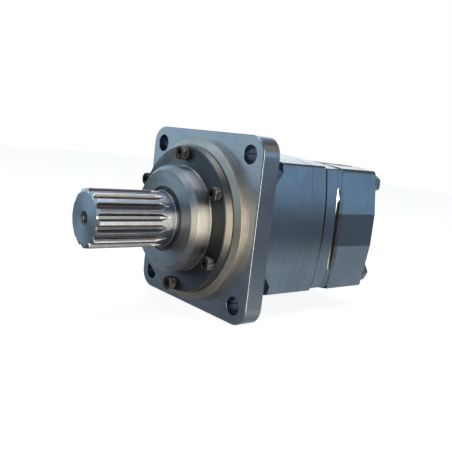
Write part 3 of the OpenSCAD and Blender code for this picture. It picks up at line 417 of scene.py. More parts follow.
def cover_marks(tree, xyz, radius, base):
    """Painted shade on the cover's bolted ring, less towards one side and below, and painted shade on its
    outer edge.
    """
    ring = times(tree, between(tree, radius, COVER_NECK_R, COVER_R - 0.3 * MM, 0.3 * MM),
                 calc(tree, "LESS_THAN", xyz[0], COVER_FACE + 0.5 * MM))
    share = times(tree, ramp(tree, xyz[1], -18.0 * MM, 22.0 * MM, 0.5, 1.0),
                  ramp(tree, xyz[2], -20.0 * MM, -50.0 * MM, 1.0, 0.8), 0.9)
    base = tint(tree, base, ring, COVER_SHADE, share)
    # Painted shade on the cover's outer edge.
    rim = times(tree, between(tree, radius, COVER_R - 0.1 * MM, COVER_R + 0.3 * MM, 0.1 * MM),
                between(tree, xyz[0], PILOT_FRONT + 0.5 * MM, COVER_FACE + 0.5 * MM, 0.2 * MM))
    return tint(tree, base, rim, COVER_RIM_SHADE, 0.6)


def bare_steel(name, turned_gloss=False, own_marks=None):
    """Turned or ground steel: rings of tool marks, a patchy brown oil film and brighter edges. Where
    turned_gloss is set, gloss is stretched across the rings, as on a lathe-turned face. own_marks is a
    function that adds what only this steel has."""
    colour, oil_colour, roughness, lines, oil_share, depth = STEELS[name]
    made, tree, shader, where = material(name)
    turned = use(tree, "turning", Vector=where, Lines=lines)
    film = use(tree, "stain", Vector=where, Marks=turned["Shade"], Spread=oil_share)["Mask"]
    wear = use(tree, "wear", Vector=where, Amount=1.0)["Mask"]
    shade = ramp(tree, turned["Shade"], 0.3, 0.7)
    base = mix_colour(tree, shade, darker(colour), colour)
    base = tint(tree, base, film, oil_colour, 0.85)
    base = tint(tree, base, wear, WORN_STEEL, 0.5)
    if own_marks is not None:
        base = own_marks(tree, split(tree, where), turned["Radius"], base)
    rough = mix_value(tree, shade, roughness * 1.25, roughness * 0.85)
    rough = mix_value(tree, film, rough, min(roughness * 1.6, 0.75))
    normal = bump(tree, turned["Height"], depth, 0.35 * MM)
    feed(tree, shader, Base_Color=base, Roughness=rough, Metallic=1.0, Normal=normal)
    if turned_gloss:
        round_x = add(tree, "ShaderNodeTangent", direction_type="RADIAL", axis="X").outputs[0]
        feed(tree, shader, Anisotropic=0.85, Anisotropic_Rotation=0.25, Tangent=round_x)
    return made


# Painted and bare iron

def off_axis(tree, xyz):
    """The distances |y| and |z| from the planes through the shaft's axis."""
    return [calc(tree, "ABSOLUTE", part) for part in xyz[1:3]]


def slit_end(tree, xyz):
    """Distance along a side of the body from the side's middle: the smaller of |y| and |z|."""
    return calc(tree, "MINIMUM", *off_axis(tree, xyz))


def upright(tree, xyz):
    """One on the two upright sides of the body, and nothing on its top and bottom."""
    return calc(tree, "GREATER_THAN", *off_axis(tree, xyz))


def body_bare(tree, where, xyz, radius):
    """Where the enamel leaves the body bare: the pilot, the port flats and the gear ring's rear bevel.
    Nothing is burnished, so the second mask is empty."""
    bare = times(tree, ramp(tree, xyz[0], 0.2 * MM, 0.6 * MM),
                 ramp(tree, radius, PILOT_R + 0.6 * MM, PILOT_R + 0.2 * MM))
    for port_y in (PORT_Y, -PORT_Y):
        reach = distance_from(tree, where, (PORT_X, port_y, 0.0), (1.0, 1.0, 0.0))
        flat = times(tree, ramp(tree, reach, PORT_FLAT_R + 0.2 * MM, PORT_FLAT_R - 0.1 * MM),
                     ramp(tree, xyz[2], PORT_FACE - 38.0 * MM, PORT_FACE - 37.0 * MM))
        bare = calc(tree, "MAXIMUM", bare, flat)
    bevel = times(tree, between(tree, xyz[0], RING_BACK - 0.2 * MM, RING_BACK + 1.25 * MM, 0.1 * MM),
                  ramp(tree, radius, GEAR_POCKETS_R, GEAR_POCKETS_R + 2.0 * MM),
                  ramp(tree, slit_end(tree, xyz), SLIT_HALF - 0.5 * MM, SLIT_HALF - 3.0 * MM))
    return calc(tree, "MAXIMUM", bare, bevel), 0.0


def plate_bare(tree, where, xyz, radius):
    """Where the channel plate is bare: its flats, out of reach of the spray, narrowing to a point towards
    each slit's ends, and everything inside. The second mask is a burnished line along the gear ring."""
    across = calc(tree, "MAXIMUM", *off_axis(tree, xyz))
    back = ramp(tree, slit_end(tree, xyz), SLIT_HALF, SLIT_HALF - 19.0 * MM,
                RING_BACK - 1.1 * MM, PLATE_BACK)
    flats = times(tree, ramp(tree, across, PLATE_HALF - 0.3 * MM, PLATE_HALF - 0.22 * MM),
                  calc(tree, "GREATER_THAN", xyz[0], back))
    line_back = ramp(tree, xyz[2], 28.0 * MM, 35.0 * MM, RING_BACK - 1.7 * MM, PLATE_BACK + 0.5 * MM)
    line = times(tree, flats, calc(tree, "GREATER_THAN", xyz[0], line_back),
                 ramp(tree, xyz[2], -22.0 * MM, 8.0 * MM, 0.2, 1.0), upright(tree, xyz))
    inside = ramp(tree, radius, PLATE_INSIDE_R + 0.5 * MM, PLATE_INSIDE_R)
    return calc(tree, "MAXIMUM", flats, inside), line


def flange_front(tree, where, xyz, patches):
    """The flange's front face, where cutter sweeps show through thin paint: the face's mask, the share
    of steel that shows, and the sweeps' height."""
    face = times(tree, ramp(tree, xyz[0], -0.3 * MM, -0.1 * MM), ramp(tree, xyz[0], 0.5 * MM, 0.3 * MM))
    sweeps = use(tree, "sweeps", Vector=where, Centre=CUTTER_CENTRE, Lines=620.0)["Height"]
    thin = times(tree, face, ramp(tree, ramp(tree, sweeps, 0.35, 0.65), 0.0, 1.0, 0.78, 1.0),
                 ramp(tree, patches, 0.25, 0.6, 0.6, 1.0))
    return face, thin, sweeps


def flange_sides(tree, where, xyz, paint):
    """Painted light on the flange's sides as paler paint round its edge, and painted shade in its four
    holes.
    """
    side = between(tree, xyz[0], 0.4 * MM - FLANGE_DEPTH, -0.9 * MM, 0.3 * MM)
    folded = vector_calc(tree, "ABSOLUTE", where)
    from_hole = distance_from(tree, folded, (0.0, HOLE_PLACE, HOLE_PLACE), (0.0, 1.0, 1.0))
    # Painted light: the flange's sides are given paler paint.
    edge = times(tree, side, ramp(tree, from_hole, HOLE_R + 0.8 * MM, HOLE_R + 1.2 * MM))
    bore = times(tree, side, ramp(tree, from_hole, HOLE_R + 0.8 * MM, HOLE_R + 0.3 * MM))
    return tint(tree, tint(tree, paint, edge, FLANGE_SIDE_LIGHT, 0.42), bore, HOLE_SHADE, 0.7)


def joint_edge(tree, xyz, facing):
    """The valve housing's front edge on the upright sides, where it stands above the channel plate."""
    return times(tree, between(tree, xyz[0], PLATE_BACK - 0.3 * MM, PLATE_BACK + 0.3 * MM, 0.1 * MM),
                 ramp(tree, facing, 0.5, 0.8), upright(tree, xyz))


def shaded_edges(tree, xyz, facing, behind, joint, base):
    """Painted shade on edges behind the flange that face it, nearly black on the one across the slit."""
    at_slit = times(tree, ramp(tree, slit_end(tree, xyz), SLIT_HALF - 1.0 * MM, SLIT_HALF - 5.0 * MM),
                    ramp(tree, xyz[0], RING_BACK + 1.5 * MM, RING_BACK + 0.5 * MM))
    # Painted shade: edges behind the flange that face it turn nearly black.
    edge_shade = times(tree, ramp(tree, facing, 0.2, 0.5), behind, mix_value(tree, at_slit, 0.3, 0.9),
                 ramp(tree, joint, 0.0, 1.0, 1.0, 0.0))
    return mix_colour(tree, edge_shade, base, SHADED_EDGE)


def seam_lines(tree, xyz, base):
    """A painted highlight line and a painted shadow line on the gear ring beside the spacer, fainter further
    down.
    """
    # Painted highlight and painted shadow on the gear ring beside the spacer.
    fade = ramp(tree, xyz[2], -35.0 * MM, 8.0 * MM, 0.35, 1.0)
    for start, end, soft, colour in (
            (4.4 * MM, 5.1 * MM, 0.4 * MM, SEAM_HIGHLIGHT), (1.1 * MM, 3.9 * MM, 0.5 * MM, SEAM_SHADOW)):
        line = between(tree, xyz[0], SPACER_BACK - end, SPACER_BACK - start, soft)
        base = tint(tree, base, line, colour, fade)
    return base


def joint_painted_light(tree, xyz):
    """Painted light and shade in matt colour on the valve housing's front edge, as light or dark as the side
    it ends at.
    """
    colour = mix_colour(tree, ramp(tree, xyz[2], 16.0 * MM, 19.0 * MM), JOINT_SHADE_MIDDLE, JOINT_LIGHT_HIGH)
    return mix_colour(tree, ramp(tree, xyz[2], -16.0 * MM, -19.0 * MM), colour, JOINT_LIGHT_LOW)


def painted_normal(tree, normal, facing, behind, bright):
    """Paint fills the joints behind the flange, so the normal of a side or an edge loses its X part
    there. The burnished line in the slit leans towards the flange, where it catches the light."""
    filled = times(tree, ramp(tree, calc(tree, "ABSOLUTE", facing), 0.85, 0.75), behind)
    keep = join(tree, mix_value(tree, filled, 1.0, 0.1), 1.0, 1.0)
    lean = join(tree, times(tree, calc(tree, "GREATER_THAN", bright, 0.01), 0.34))
    normal = vector_calc(tree, "ADD", vector_calc(tree, "MULTIPLY", normal, keep), lean)
    return vector_calc(tree, "NORMALIZE", normal)


def body_paint(name, colour, light, dark, bare_places=body_bare, iron=BODY_IRON):
    """Blue-grey enamel with a metal flake, which gives way to bare iron on its bare places."""
    made, tree, shader, where = material(name)
    skin = use(tree, "skin", Vector=where)
    wear = use(tree, "wear", Vector=where, Amount=0.1)["Mask"]
    turned = use(tree, "turning", Vector=where, Lines=1300.0)
    film = use(tree, "stain", Vector=where, Marks=turned["Shade"], Spread=0.55)["Mask"]
    xyz = split(tree, where)
    facing = split(tree, true_normal(tree))[0]
    behind = ramp(tree, xyz[0], -1.0 * MM - FLANGE_DEPTH, -4.0 * MM - FLANGE_DEPTH)
    bare, bright = bare_places(tree, where, xyz, turned["Radius"])
    front, thin, sweeps = flange_front(tree, where, xyz, skin["Patch"])
    joint = joint_edge(tree, xyz, facing)
    patch = ramp(tree, skin["Patch"], 0.32, 0.68)
    chipped = times(tree, wear, mix_value(tree, behind, 0.3, 0.0))
    # Colour: the paint, what lies on it, painted light and shade, and then what is bare
    base = mix_colour(tree, patch, dark, colour)
    base = tint(tree, base, ramp(tree, skin["Streak"], 0.35, 0.72), light, 0.25)
    base = mix_colour(tree, thin, base, THIN_PAINT)
    base = flange_sides(tree, where, xyz, base)
    base = mix_colour(tree, chipped, base, CHIPPED)
    # Painted shade on the edges behind the flange that face it
    base = shaded_edges(tree, xyz, facing, behind, joint, base)
    base = seam_lines(tree, xyz, base)
    iron_dark, iron_light, iron_oil = iron
    metal = mix_colour(tree, ramp(tree, turned["Shade"], 0.3, 0.7), iron_dark, iron_light)
    base = mix_colour(tree, bare, base, tint(tree, metal, film, iron_oil, 0.8))
    base = mix_colour(tree, bright, base, BURNISHED)
    # Painted light and shade on the valve housing's front edge, matched to the sides it ends at
    base = mix_colour(tree, joint, base, joint_painted_light(tree, xyz))
    # Gloss
    rough = mix_value(tree, patch, 0.22, 0.15)
    for mask, value in ((thin, 0.34), (wear, 0.5), (bare, 0.44), (joint, 1.0)):
        rough = mix_value(tree, mask, rough, value)
    metallic = mix_value(tree, calc(tree, "MAXIMUM", bare, chipped), 0.8, 1.0)
    metallic = mix_value(tree, bright, metallic, 1.0)
    metallic = mix_value(tree, joint, metallic, 0.0)
    # Relief
    height = mix_value(tree, bare, skin["Height"], times(tree, turned["Height"], 1.5))
    height = mix_value(tree, front, height, times(tree, sweeps, 0.7))
    normal = painted_normal(tree, bump(tree, height, 4.5e-5, 0.6 * MM), facing, behind, bright)
    feed(tree, shader, Base_Color=base, Roughness=rough, Metallic=metallic, Normal=normal,
         Coat_Weight=mix_value(tree, joint, 0.15, 0.0), Coat_Roughness=0.2)
    return made


# Other materials

def soft_rubber(name, colour, roughness):
    """Moulded rubber: a faint mottled colour and a fine matt grain."""
    made, tree, shader, where = material(name)
    speckle = noise(tree, where, 900.0, 3.0, 0.6)
    patch = ramp(tree, noise(tree, where, 60.0, 3.0), 0.3, 0.7)
    base = mix_colour(tree, patch, darker(colour), colour)
    base = tint(tree, base, speckle, (0.3, 0.28, 0.26), 0.15)
    rough = mix_value(tree, patch, roughness, roughness * 0.8)
    feed(tree, shader, Base_Color=base, Roughness=rough, Normal=bump(tree, speckle, 3e-5))
    return made


def soft_copper(name):
    """A crush washer: copper with darker oxide patches and fine rings."""
    made, tree, shader, where = material(name)
    oxide = ramp(tree, noise(tree, where, 300.0, 4.0, 0.6), 0.4, 0.7)
    base = mix_colour(tree, oxide, (0.78, 0.38, 0.22), (0.32, 0.15, 0.09))
    rough = mix_value(tree, oxide, 0.25, 0.55)
    normal = bump(tree, noise(tree, where, 1500.0), 2e-5)
    feed(tree, shader, Base_Color=base, Roughness=rough, Metallic=1.0, Normal=normal)
    return made


def black_oxide(name):
    """Dark brown-black screws, rubbed bright along their edges."""
    made, tree, shader, where = material(name)
    wear = use(tree, "wear", Vector=where, Amount=0.42, Grain=700.0)["Mask"]
    patch = ramp(tree, noise(tree, where, 380.0, 4.0, 0.6), 0.35, 0.7)
    base = mix_colour(tree, patch, (0.025, 0.024, 0.025), (0.055, 0.05, 0.048))
    base = tint(tree, base, wear, (0.6, 0.57, 0.55), 0.85)
    rough = mix_value(tree, patch, 0.5, 0.34)
    normal = bump(tree, noise(tree, where, 1800.0), 2e-5, 0.25 * MM)
    feed(tree, shader, Base_Color=base, Roughness=rough, Metallic=mix_value(tree, wear, 0.2, 1.0),
         Specular_IOR_Level=0.16, Normal=normal)
    return made


MATERIALS = {}


def make_materials(paint):
    """One procedural material for each of the record's material slots, made once."""
    if MATERIALS:
        return MATERIALS
    colour = tuple(paint.body_colour)
    light = tuple(paint.streak_colour)
    dark = tuple(paint.shade_colour)
    special = {
        "turned_steel": {"turned_gloss": True, "own_marks": cover_marks},
        "spline_steel": {"turned_gloss": True, "own_marks": spline_marks},
    }
    for name in STEELS:
        MATERIALS[name] = bare_steel(name, **special.get(name, {}))
    MATERIALS.update(
        painted_body=body_paint("painted_body", colour, light, dark),
        painted_bolt=body_paint("painted_bolt", tuple(part * 0.85 for part in colour), light, dark),
        # The slit's floor gets iron colours painted nearly black: painted shade in the recess.
        plate_iron=body_paint("plate_iron", colour, light, dark, plate_bare, SLIT_SHADE_IRON),
        dark_screw=black_oxide("dark_screw"),
        seal_rubber=soft_rubber("seal_rubber", (0.03, 0.03, 0.03), 0.55),
        wiper=soft_rubber("wiper", (0.24, 0.21, 0.17), 0.45),
        copper=soft_copper("copper"),
    )
    return MATERIALS


# Pieces worked out as arrays

def new_object(name, data):
    """An object of the scene at the origin."""
    made = bpy.data.objects.new(name, data)
    bpy.context.scene.collection.objects.link(made)
    return made


def new_piece(name, points, faces):
    """An object at the origin with a mesh of the points and faces."""
    mesh = bpy.data.meshes.new(name)
    mesh.from_pydata(points.tolist(), [], faces.tolist())
    mesh.update()
    return new_object(name, mesh)


def full_turn(steps):
    """Evenly spaced angles round a circle, without its end."""
    return np.linspace(0.0, 2.0 * np.pi, steps, endpoint=False)


def ring_surface(name, radius, along, centres):
    """Closed surfaces round lines along X. radius and along are (rings, steps) arrays of the distance
    from the line and the place along it, for evenly spaced angles; the first and last rings meet or
    have radius 0. centres gives the (y, z) of each line, and one copy is made on each."""
    rings, steps = radius.shape
    angle = full_turn(steps)
    one = np.stack([along, radius * np.cos(angle), radius * np.sin(angle)], axis=-1).reshape(-1, 3)
    ring = np.arange(rings - 1)[:, None] * steps
    step = np.arange(steps)[None, :]
    after = (step + 1) % steps
    quads = np.stack([ring + step, ring + steps + step, ring + steps + after, ring + after], axis=-1)
    quads = quads.reshape(-1, 4)
    points = np.concatenate([one + np.array([0.0, y, z]) for y, z in centres])
    faces = np.concatenate([quads + index * len(one) for index in range(len(centres))])
    return new_piece(name, points, faces)


def clean_mesh(piece, angle=35.0):
    """Merges the poles, turns the faces outwards and shades the piece smooth between sharp edges."""
    work = bmesh.new()
    work.from_mesh(piece.data)
    bmesh.ops.remove_doubles(work, verts=work.verts, dist=1e-7)
    bmesh.ops.dissolve_degenerate(work, dist=1e-8, edges=work.edges)
    bmesh.ops.recalc_face_normals(work, faces=work.faces)
    for face in work.faces:
        face.smooth = True
    for edge in work.edges:
        if len(edge.link_faces) == 2 and edge.calc_face_angle(0.0) > math.radians(angle):
            edge.smooth = False
    work.to_mesh(piece.data)
    work.free()


def cap_screws(sizes):
    """Socket head cap screws. Each ring has its own radius; the head's rings carry straight knurls,
    r = R + d (cos(n a) - 1) / 2, and the socket's rings follow a hexagon, r = h / cos(a mod 60 - 30)."""
    steps = sizes.knurls * 6
    angle = full_turn(steps)
    knurl = sizes.knurl_depth * 0.5 * (np.cos(sizes.knurls * angle) - 1.0)
    low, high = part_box("front_cover_screws")
    tip, face, top = low.x, high.x - SCREW_HEAD, high.x
    head_r = 6.5 * MM
    shank_r = 4.0 * MM
    circle_r = 64.5 * MM
    half_flats = 3.0 * MM
    socket = half_flats / np.cos((angle + np.pi / 6) % (np.pi / 3) - np.pi / 6)
    # From the shank's tip to the socket's floor: place, radius, share of the knurls, hexagon or not
    profile = [
        (tip, 0.0, 0, 0), (tip, shank_r - 0.8 * MM, 0, 0), (tip + 0.9 * MM, shank_r, 0, 0),
        (face, shank_r, 0, 0), (face, head_r - 0.3 * MM, 0, 0), (face + 0.3 * MM, head_r, 1, 0),
        (face + 2.8 * MM, head_r, 1, 0), (face + 5.2 * MM, head_r, 1, 0), (top - 1.1 * MM, head_r, 1, 0),
        (top - 0.7 * MM, head_r - 0.15 * MM, 0.3, 0), (top - 0.25 * MM, head_r - 0.5 * MM, 0, 0),
        (top, head_r - 1.1 * MM, 0, 0), (top, 3.85 * MM, 0, 0), (top - 0.35 * MM, 0.0, 0, 1),
        (top - 4.0 * MM, 0.0, 0, 1), (top - 4.6 * MM, 1.2 * MM, 0, 0), (top - 4.8 * MM, 0.0, 0, 0)]
    radius = np.array([np.where(hexagon, socket, r + share * knurl) for _, r, share, hexagon in profile])
    along = np.array([np.full(steps, x) for x, _, _, _ in profile])
    turns = np.radians(np.arange(6) * 60.0 + 90.0)
    centres = [(circle_r * math.cos(turn), circle_r * math.sin(turn)) for turn in turns]
    piece = ring_surface("cap_screws", radius, along, centres)
    clean_mesh(piece)
    piece.data.materials.append(MATERIALS["dark_screw"])
    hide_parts("front_cover_screws")
    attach(piece, "root")
    return piece


def thread_rings(low, high, core, depth, pitch, steps):
    """Rings of a thin threaded sleeve from low to high: up along its outer wall, a small gap inside the
    core radius, and back down its inside. The inside's radius is R - s - depth w(x / pitch - a / 360),
    where R is the outer wall's radius, s is the sleeve's thickness and w is a triangle wave with flat
    crests and roots that dies away over one pitch at both ends."""
    rings_per_turn = 12
    gap = 0.02 * MM
    thickness = 0.03 * MM
    rings = int((high - low) / pitch * rings_per_turn)
    x = np.linspace(high, low, rings + 1)[:, None]
    turn = (x - low) / pitch - full_turn(steps)[None, :] / (2.0 * np.pi)
    wave = np.clip(1.5 * np.abs(2.0 * (turn % 1.0) - 1.0) - 0.25, 0.0, 1.0)
    ends = np.clip(np.minimum(x - low, high - x) / pitch, 0.0, 1.0)
    wall = np.full(steps, core - gap)
    inside = wall[None, :] - thickness - depth * wave * ends
    radius = np.vstack([wall, wall, inside, wall])
    along = np.vstack([np.full(steps, low), np.full(steps, high), np.broadcast_to(x, inside.shape),
                       np.full(steps, low)])
    return radius, along


def end_hole_thread(sizes):
    """The thread in the shaft's end hole, a helix about the X axis."""
    inner = SHAFT_TIP - 26.0 * MM
    outer = SHAFT_TIP - 1.6 * MM
    radius, along = thread_rings(inner, outer, END_HOLE_R, sizes.hole_depth, sizes.hole_pitch, 48)
    piece = ring_surface("end_hole_thread", radius, along, [(0.0, 0.0)])
    clean_mesh(piece)
    piece.data.materials.append(MATERIALS["spline_steel"])
    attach(piece, "shaft")
    return piece


def port_threads(sizes):
    """The pipe threads in both ports. Two sleeves about the X axis are turned so that X points up, and
    one is moved to each port."""
    bottom = PORT_FACE - 18.2 * MM
    top = PORT_FACE - 2.6 * MM
    radius, along = thread_rings(bottom, top, PORT_R, sizes.port_depth, sizes.port_pitch, 96)
    piece = ring_surface("port_threads", radius, along, [(0.0, 0.0), (0.0, 0.0)])
    places = np.empty(len(piece.data.vertices) * 3)
    piece.data.vertices.foreach_get("co", places)
    places = places.reshape(-1, 3)
    first = np.arange(len(places)) < len(places) // 2
    across = np.where(first, PORT_Y, -PORT_Y)
    turned = np.stack([PORT_X + places[:, 1], across + places[:, 2], places[:, 0]], axis=-1)
    piece.data.vertices.foreach_set("co", turned.ravel())
    clean_mesh(piece)
    piece.data.materials.append(MATERIALS["drive_steel"])
    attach(piece, "root")
    return piece


def garter_spring(sizes):
    """The shaft seal's spring, wire wound round a circle about the X axis. The wire's centre line is
    (x + c sin t, (R + c cos t) cos p, (R + c cos t) sin p), where t is p times the number of turns, and
    circles square to that line give the wire its thickness."""
    steps_per_turn = 10
    sides = 6
    low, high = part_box("seal_spring")
    section = (high.x - low.x) / 2.0
    ring = high.y - section
    coil = section - sizes.wire
    round_ring = full_turn(sizes.turns * steps_per_turn)[:, None]
    winding = sizes.turns * round_ring
    ahead = np.array([[1.0, 0.0, 0.0]])
    away = np.hstack([np.zeros_like(round_ring), np.cos(round_ring), np.sin(round_ring)])
    onwards = np.hstack([np.zeros_like(round_ring), -np.sin(round_ring), np.cos(round_ring)])
    out = np.cos(winding) * away + np.sin(winding) * ahead
    line = (low.x + section) * ahead + ring * away + coil * out
    way = (ring + coil * np.cos(winding)) * onwards
    way = way + coil * sizes.turns * (np.cos(winding) * ahead - np.sin(winding) * away)
    side = np.cross(way, out)
    side /= np.linalg.norm(side, axis=1, keepdims=True)
    turn = full_turn(sides)[None, :, None]
    points = line[:, None] + sizes.wire * (np.cos(turn) * out[:, None] + np.sin(turn) * side[:, None])
    here = np.arange(len(line) * sides).reshape(-1, sides)
    after = np.roll(here, -1, axis=0)
    quads = np.stack([here, after, np.roll(after, -1, axis=1), np.roll(here, -1, axis=1)], axis=-1)
    piece = new_piece("garter_spring", points.reshape(-1, 3), quads.reshape(-1, 4))
    clean_mesh(piece, 80.0)
    piece.data.materials.append(MATERIALS["spring_steel"])
    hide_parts("seal_spring")
    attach(piece, "root")
    return piece


# Settings

def length_setting(name, description, default, low, high):
    """A length in millimetres as a property."""
    return bpy.props.FloatProperty(
        name=name, description=description, subtype="DISTANCE", unit="LENGTH", default=default * MM,
        min=low * MM, max=high * MM, precision=5)


def colour_setting(name, description, default):
    """A colour as a property."""
    return bpy.props.FloatVectorProperty(
        name=name, description=description, size=3, subtype="COLOR", min=0.0, max=1.0, default=default)


class PaintSettings(bpy.types.PropertyGroup):
    """Colours of the body's enamel"""

    body_colour: colour_setting("Body colour", "Main colour of the enamel", (0.235, 0.325, 0.42))
    streak_colour: colour_setting("Streak colour", "Colour of the lighter streaks in the enamel",
                                  (0.33, 0.42, 0.5))
    shade_colour: colour_setting("Shade colour", "Colour of the darker patches in the enamel",
                                 (0.19, 0.26, 0.34))


class ScrewSettings(bpy.types.PropertyGroup):
    """Sizes of the cap screws' knurled heads"""

    knurls: bpy.props.IntProperty(
        name="Knurls", description="Number of ridges round each head", default=36, min=24, max=60)
    knurl_depth: length_setting("Knurl depth", "Depth of the ridges", 0.35, 0.1, 0.6)


class ThreadSettings(bpy.types.PropertyGroup):
    """Sizes of the threads in the shaft's end hole and in the ports"""

    hole_pitch: length_setting("End hole pitch", "Pitch of the thread in the shaft's end", 1.75, 1.0, 2.5)
    hole_depth: length_setting("End hole depth", "Depth of the thread in the shaft's end", 0.55, 0.3, 1.0)
    port_pitch: length_setting("Port pitch", "Pitch of the threads in the ports", 2.309, 1.5, 3.0)
    port_depth: length_setting("Port depth", "Depth of the threads in the ports", 1.2, 0.5, 1.5)


class SpringSettings(bpy.types.PropertyGroup):
    """Winding of the shaft seal's garter spring"""

    turns: bpy.props.IntProperty(
        name="Turns", description="Number of turns round the ring", default=210, min=120, max=400)
    wire: length_setting("Wire radius", "Half the thickness of the wire", 0.22, 0.1, 0.3)


class StageSettings(bpy.types.PropertyGroup):
    """Strengths of the studio's light and the camera's lens"""

    key_power: bpy.props.FloatProperty(
        name="Key light", description="Power of the large lamp above the motor", default=6.0, min=0.0,
        unit="POWER")
    window_strength: bpy.props.FloatProperty(
        name="Window", description="Brightness of the warm window that steel reflects", default=7.4, min=0.0)
    sky_colour: colour_setting("Sky colour", "Colour of the studio above the horizon", (0.5, 0.67, 0.82))
    lens: bpy.props.FloatProperty(
        name="Lens", description="Focal length in millimetres on a 36 mm wide sensor", default=47.205,
        min=10.0, max=200.0)


# Operators for the motor

class MOTOR_OT_finishes(bpy.types.Operator):
    """Give every solid of the motor its procedural material"""

    bl_idname = "motor.finishes"
    bl_label = "Finishes"

    def execute(self, context):
        made = make_materials(context.scene.motor_paint)
        for entry in frame["record"]["subparts"]:
            node = frame["nodes"][entry["node"]]
            node.data.materials.clear()
            node.data.materials.append(made[entry["material_slot"]])
        return {"FINISHED"}


class MOTOR_OT_cap_screws(bpy.types.Operator):
    """Make the knurled socket head screws of the front cover"""

    bl_idname = "motor.cap_screws"
    bl_label = "Cover screws"

    def execute(self, context):
        cap_screws(context.scene.motor_screws)
        return {"FINISHED"}


class MOTOR_OT_end_hole_thread(bpy.types.Operator):
    """Make the thread of the shaft's end hole"""

    bl_idname = "motor.end_hole_thread"
    bl_label = "End hole thread"

    def execute(self, context):
        end_hole_thread(context.scene.motor_threads)
        return {"FINISHED"}


class MOTOR_OT_port_threads(bpy.types.Operator):
    """Make the pipe threads of both ports"""

    bl_idname = "motor.port_threads"
    bl_label = "Port threads"

    def execute(self, context):
        port_threads(context.scene.motor_threads)
        return {"FINISHED"}


class MOTOR_OT_garter_spring(bpy.types.Operator):
    """Wind the garter spring of the shaft seal"""

    bl_idname = "motor.garter_spring"
    bl_label = "Garter spring"

    def execute(self, context):
        garter_spring(context.scene.motor_spring)
        return {"FINISHED"}


# Studio

def studio_floor():
    """Pale floor just under the motor, nearly white to the camera, with the motor's soft shadow."""
    half = 3.0
    level = CAD_BOX[0].z - 0.1 * MM
    corners = [(-half, -half, level), (half, -half, level), (half, half, level), (-half, half, level)]
    mesh = bpy.data.meshes.new("studio_floor")
    mesh.from_pydata(corners, [], [(0, 1, 2, 3)])
    made = bpy.data.materials.new("studio_floor")
    tree = empty_tree(made)
    where = add(tree, "ShaderNodeTexCoord").outputs["Object"]
    pale = mix_value(tree, noise(tree, where, 9.0, 3.0), 0.5, 0.54)
    colour = add(tree, "ShaderNodeCombineColor", {0: pale, 1: pale, 2: pale}).outputs[0]
    lit = add(tree, "ShaderNodeBsdfDiffuse", {"Color": colour}).outputs[0]
    glow = add(tree, "ShaderNodeEmission", {"Color": (1.0, 1.0, 1.0, 1.0), "Strength": 0.86}).outputs[0]
    both = add(tree, "ShaderNodeAddShader", {0: lit, 1: glow}).outputs[0]
    to_camera = add(tree, "ShaderNodeLightPath").outputs["Is Camera Ray"]
    shown = add(tree, "ShaderNodeMixShader", {0: to_camera, 1: lit, 2: both}).outputs[0]
    add(tree, "ShaderNodeOutputMaterial", {0: shown})
    mesh.materials.append(made)
    floor = new_object("studio_floor", mesh)
    floor.visible_glossy = False
    floor.visible_diffuse = False
    floor.visible_shadow = False
    return floor


def studio_cards(tree, height):
    """The cards that stand round the studio. Each has a direction, the cosines of the angles from it
    where the card starts and is full, and a colour: a dim ceiling, a grey floor, a pale panel that
    the flange's face reflects, a dim room behind the camera, and two brown cards above."""
    panel = mix_colour(tree, ramp(tree, height, -0.26, 0.08), (0.07, 0.075, 0.09), (0.78, 1.04, 1.26))
    return (
        ((0.0, 0.0, 1.0), 0.45, 0.75, (0.17, 0.23, 0.3)),
        ((0.0, 0.0, -1.0), 0.5, 0.85, (0.27, 0.27, 0.27)),
        ((0.64, -0.77, 0.0), 0.5, 0.85, panel),
        ((0.79, 0.61, -0.1), 0.75, 0.95, (0.24, 0.22, 0.19)),
        ((-0.72, 0.2, 0.66), 0.82, 0.93, (0.16, 0.125, 0.1)),
        ((-0.61, 0.51, 0.6), 0.93, 0.985, (0.5, 0.4, 0.28)))


def studio_window(tree, toward, height):
    """A window beside the camera, where the turned steel's stretched gloss reaches it."""
    facing = math.radians(86.0)
    level = vector_calc(tree, "NORMALIZE", vector_calc(tree, "MULTIPLY", toward, (1.0, 1.0, 0.0)))
    across = vector_calc(tree, "DOT_PRODUCT", level, (math.cos(facing), math.sin(facing), 0.0), "Value")
    return times(tree, ramp(tree, across, 0.87, 0.93), between(tree, height, -0.3, 0.35, 0.25))


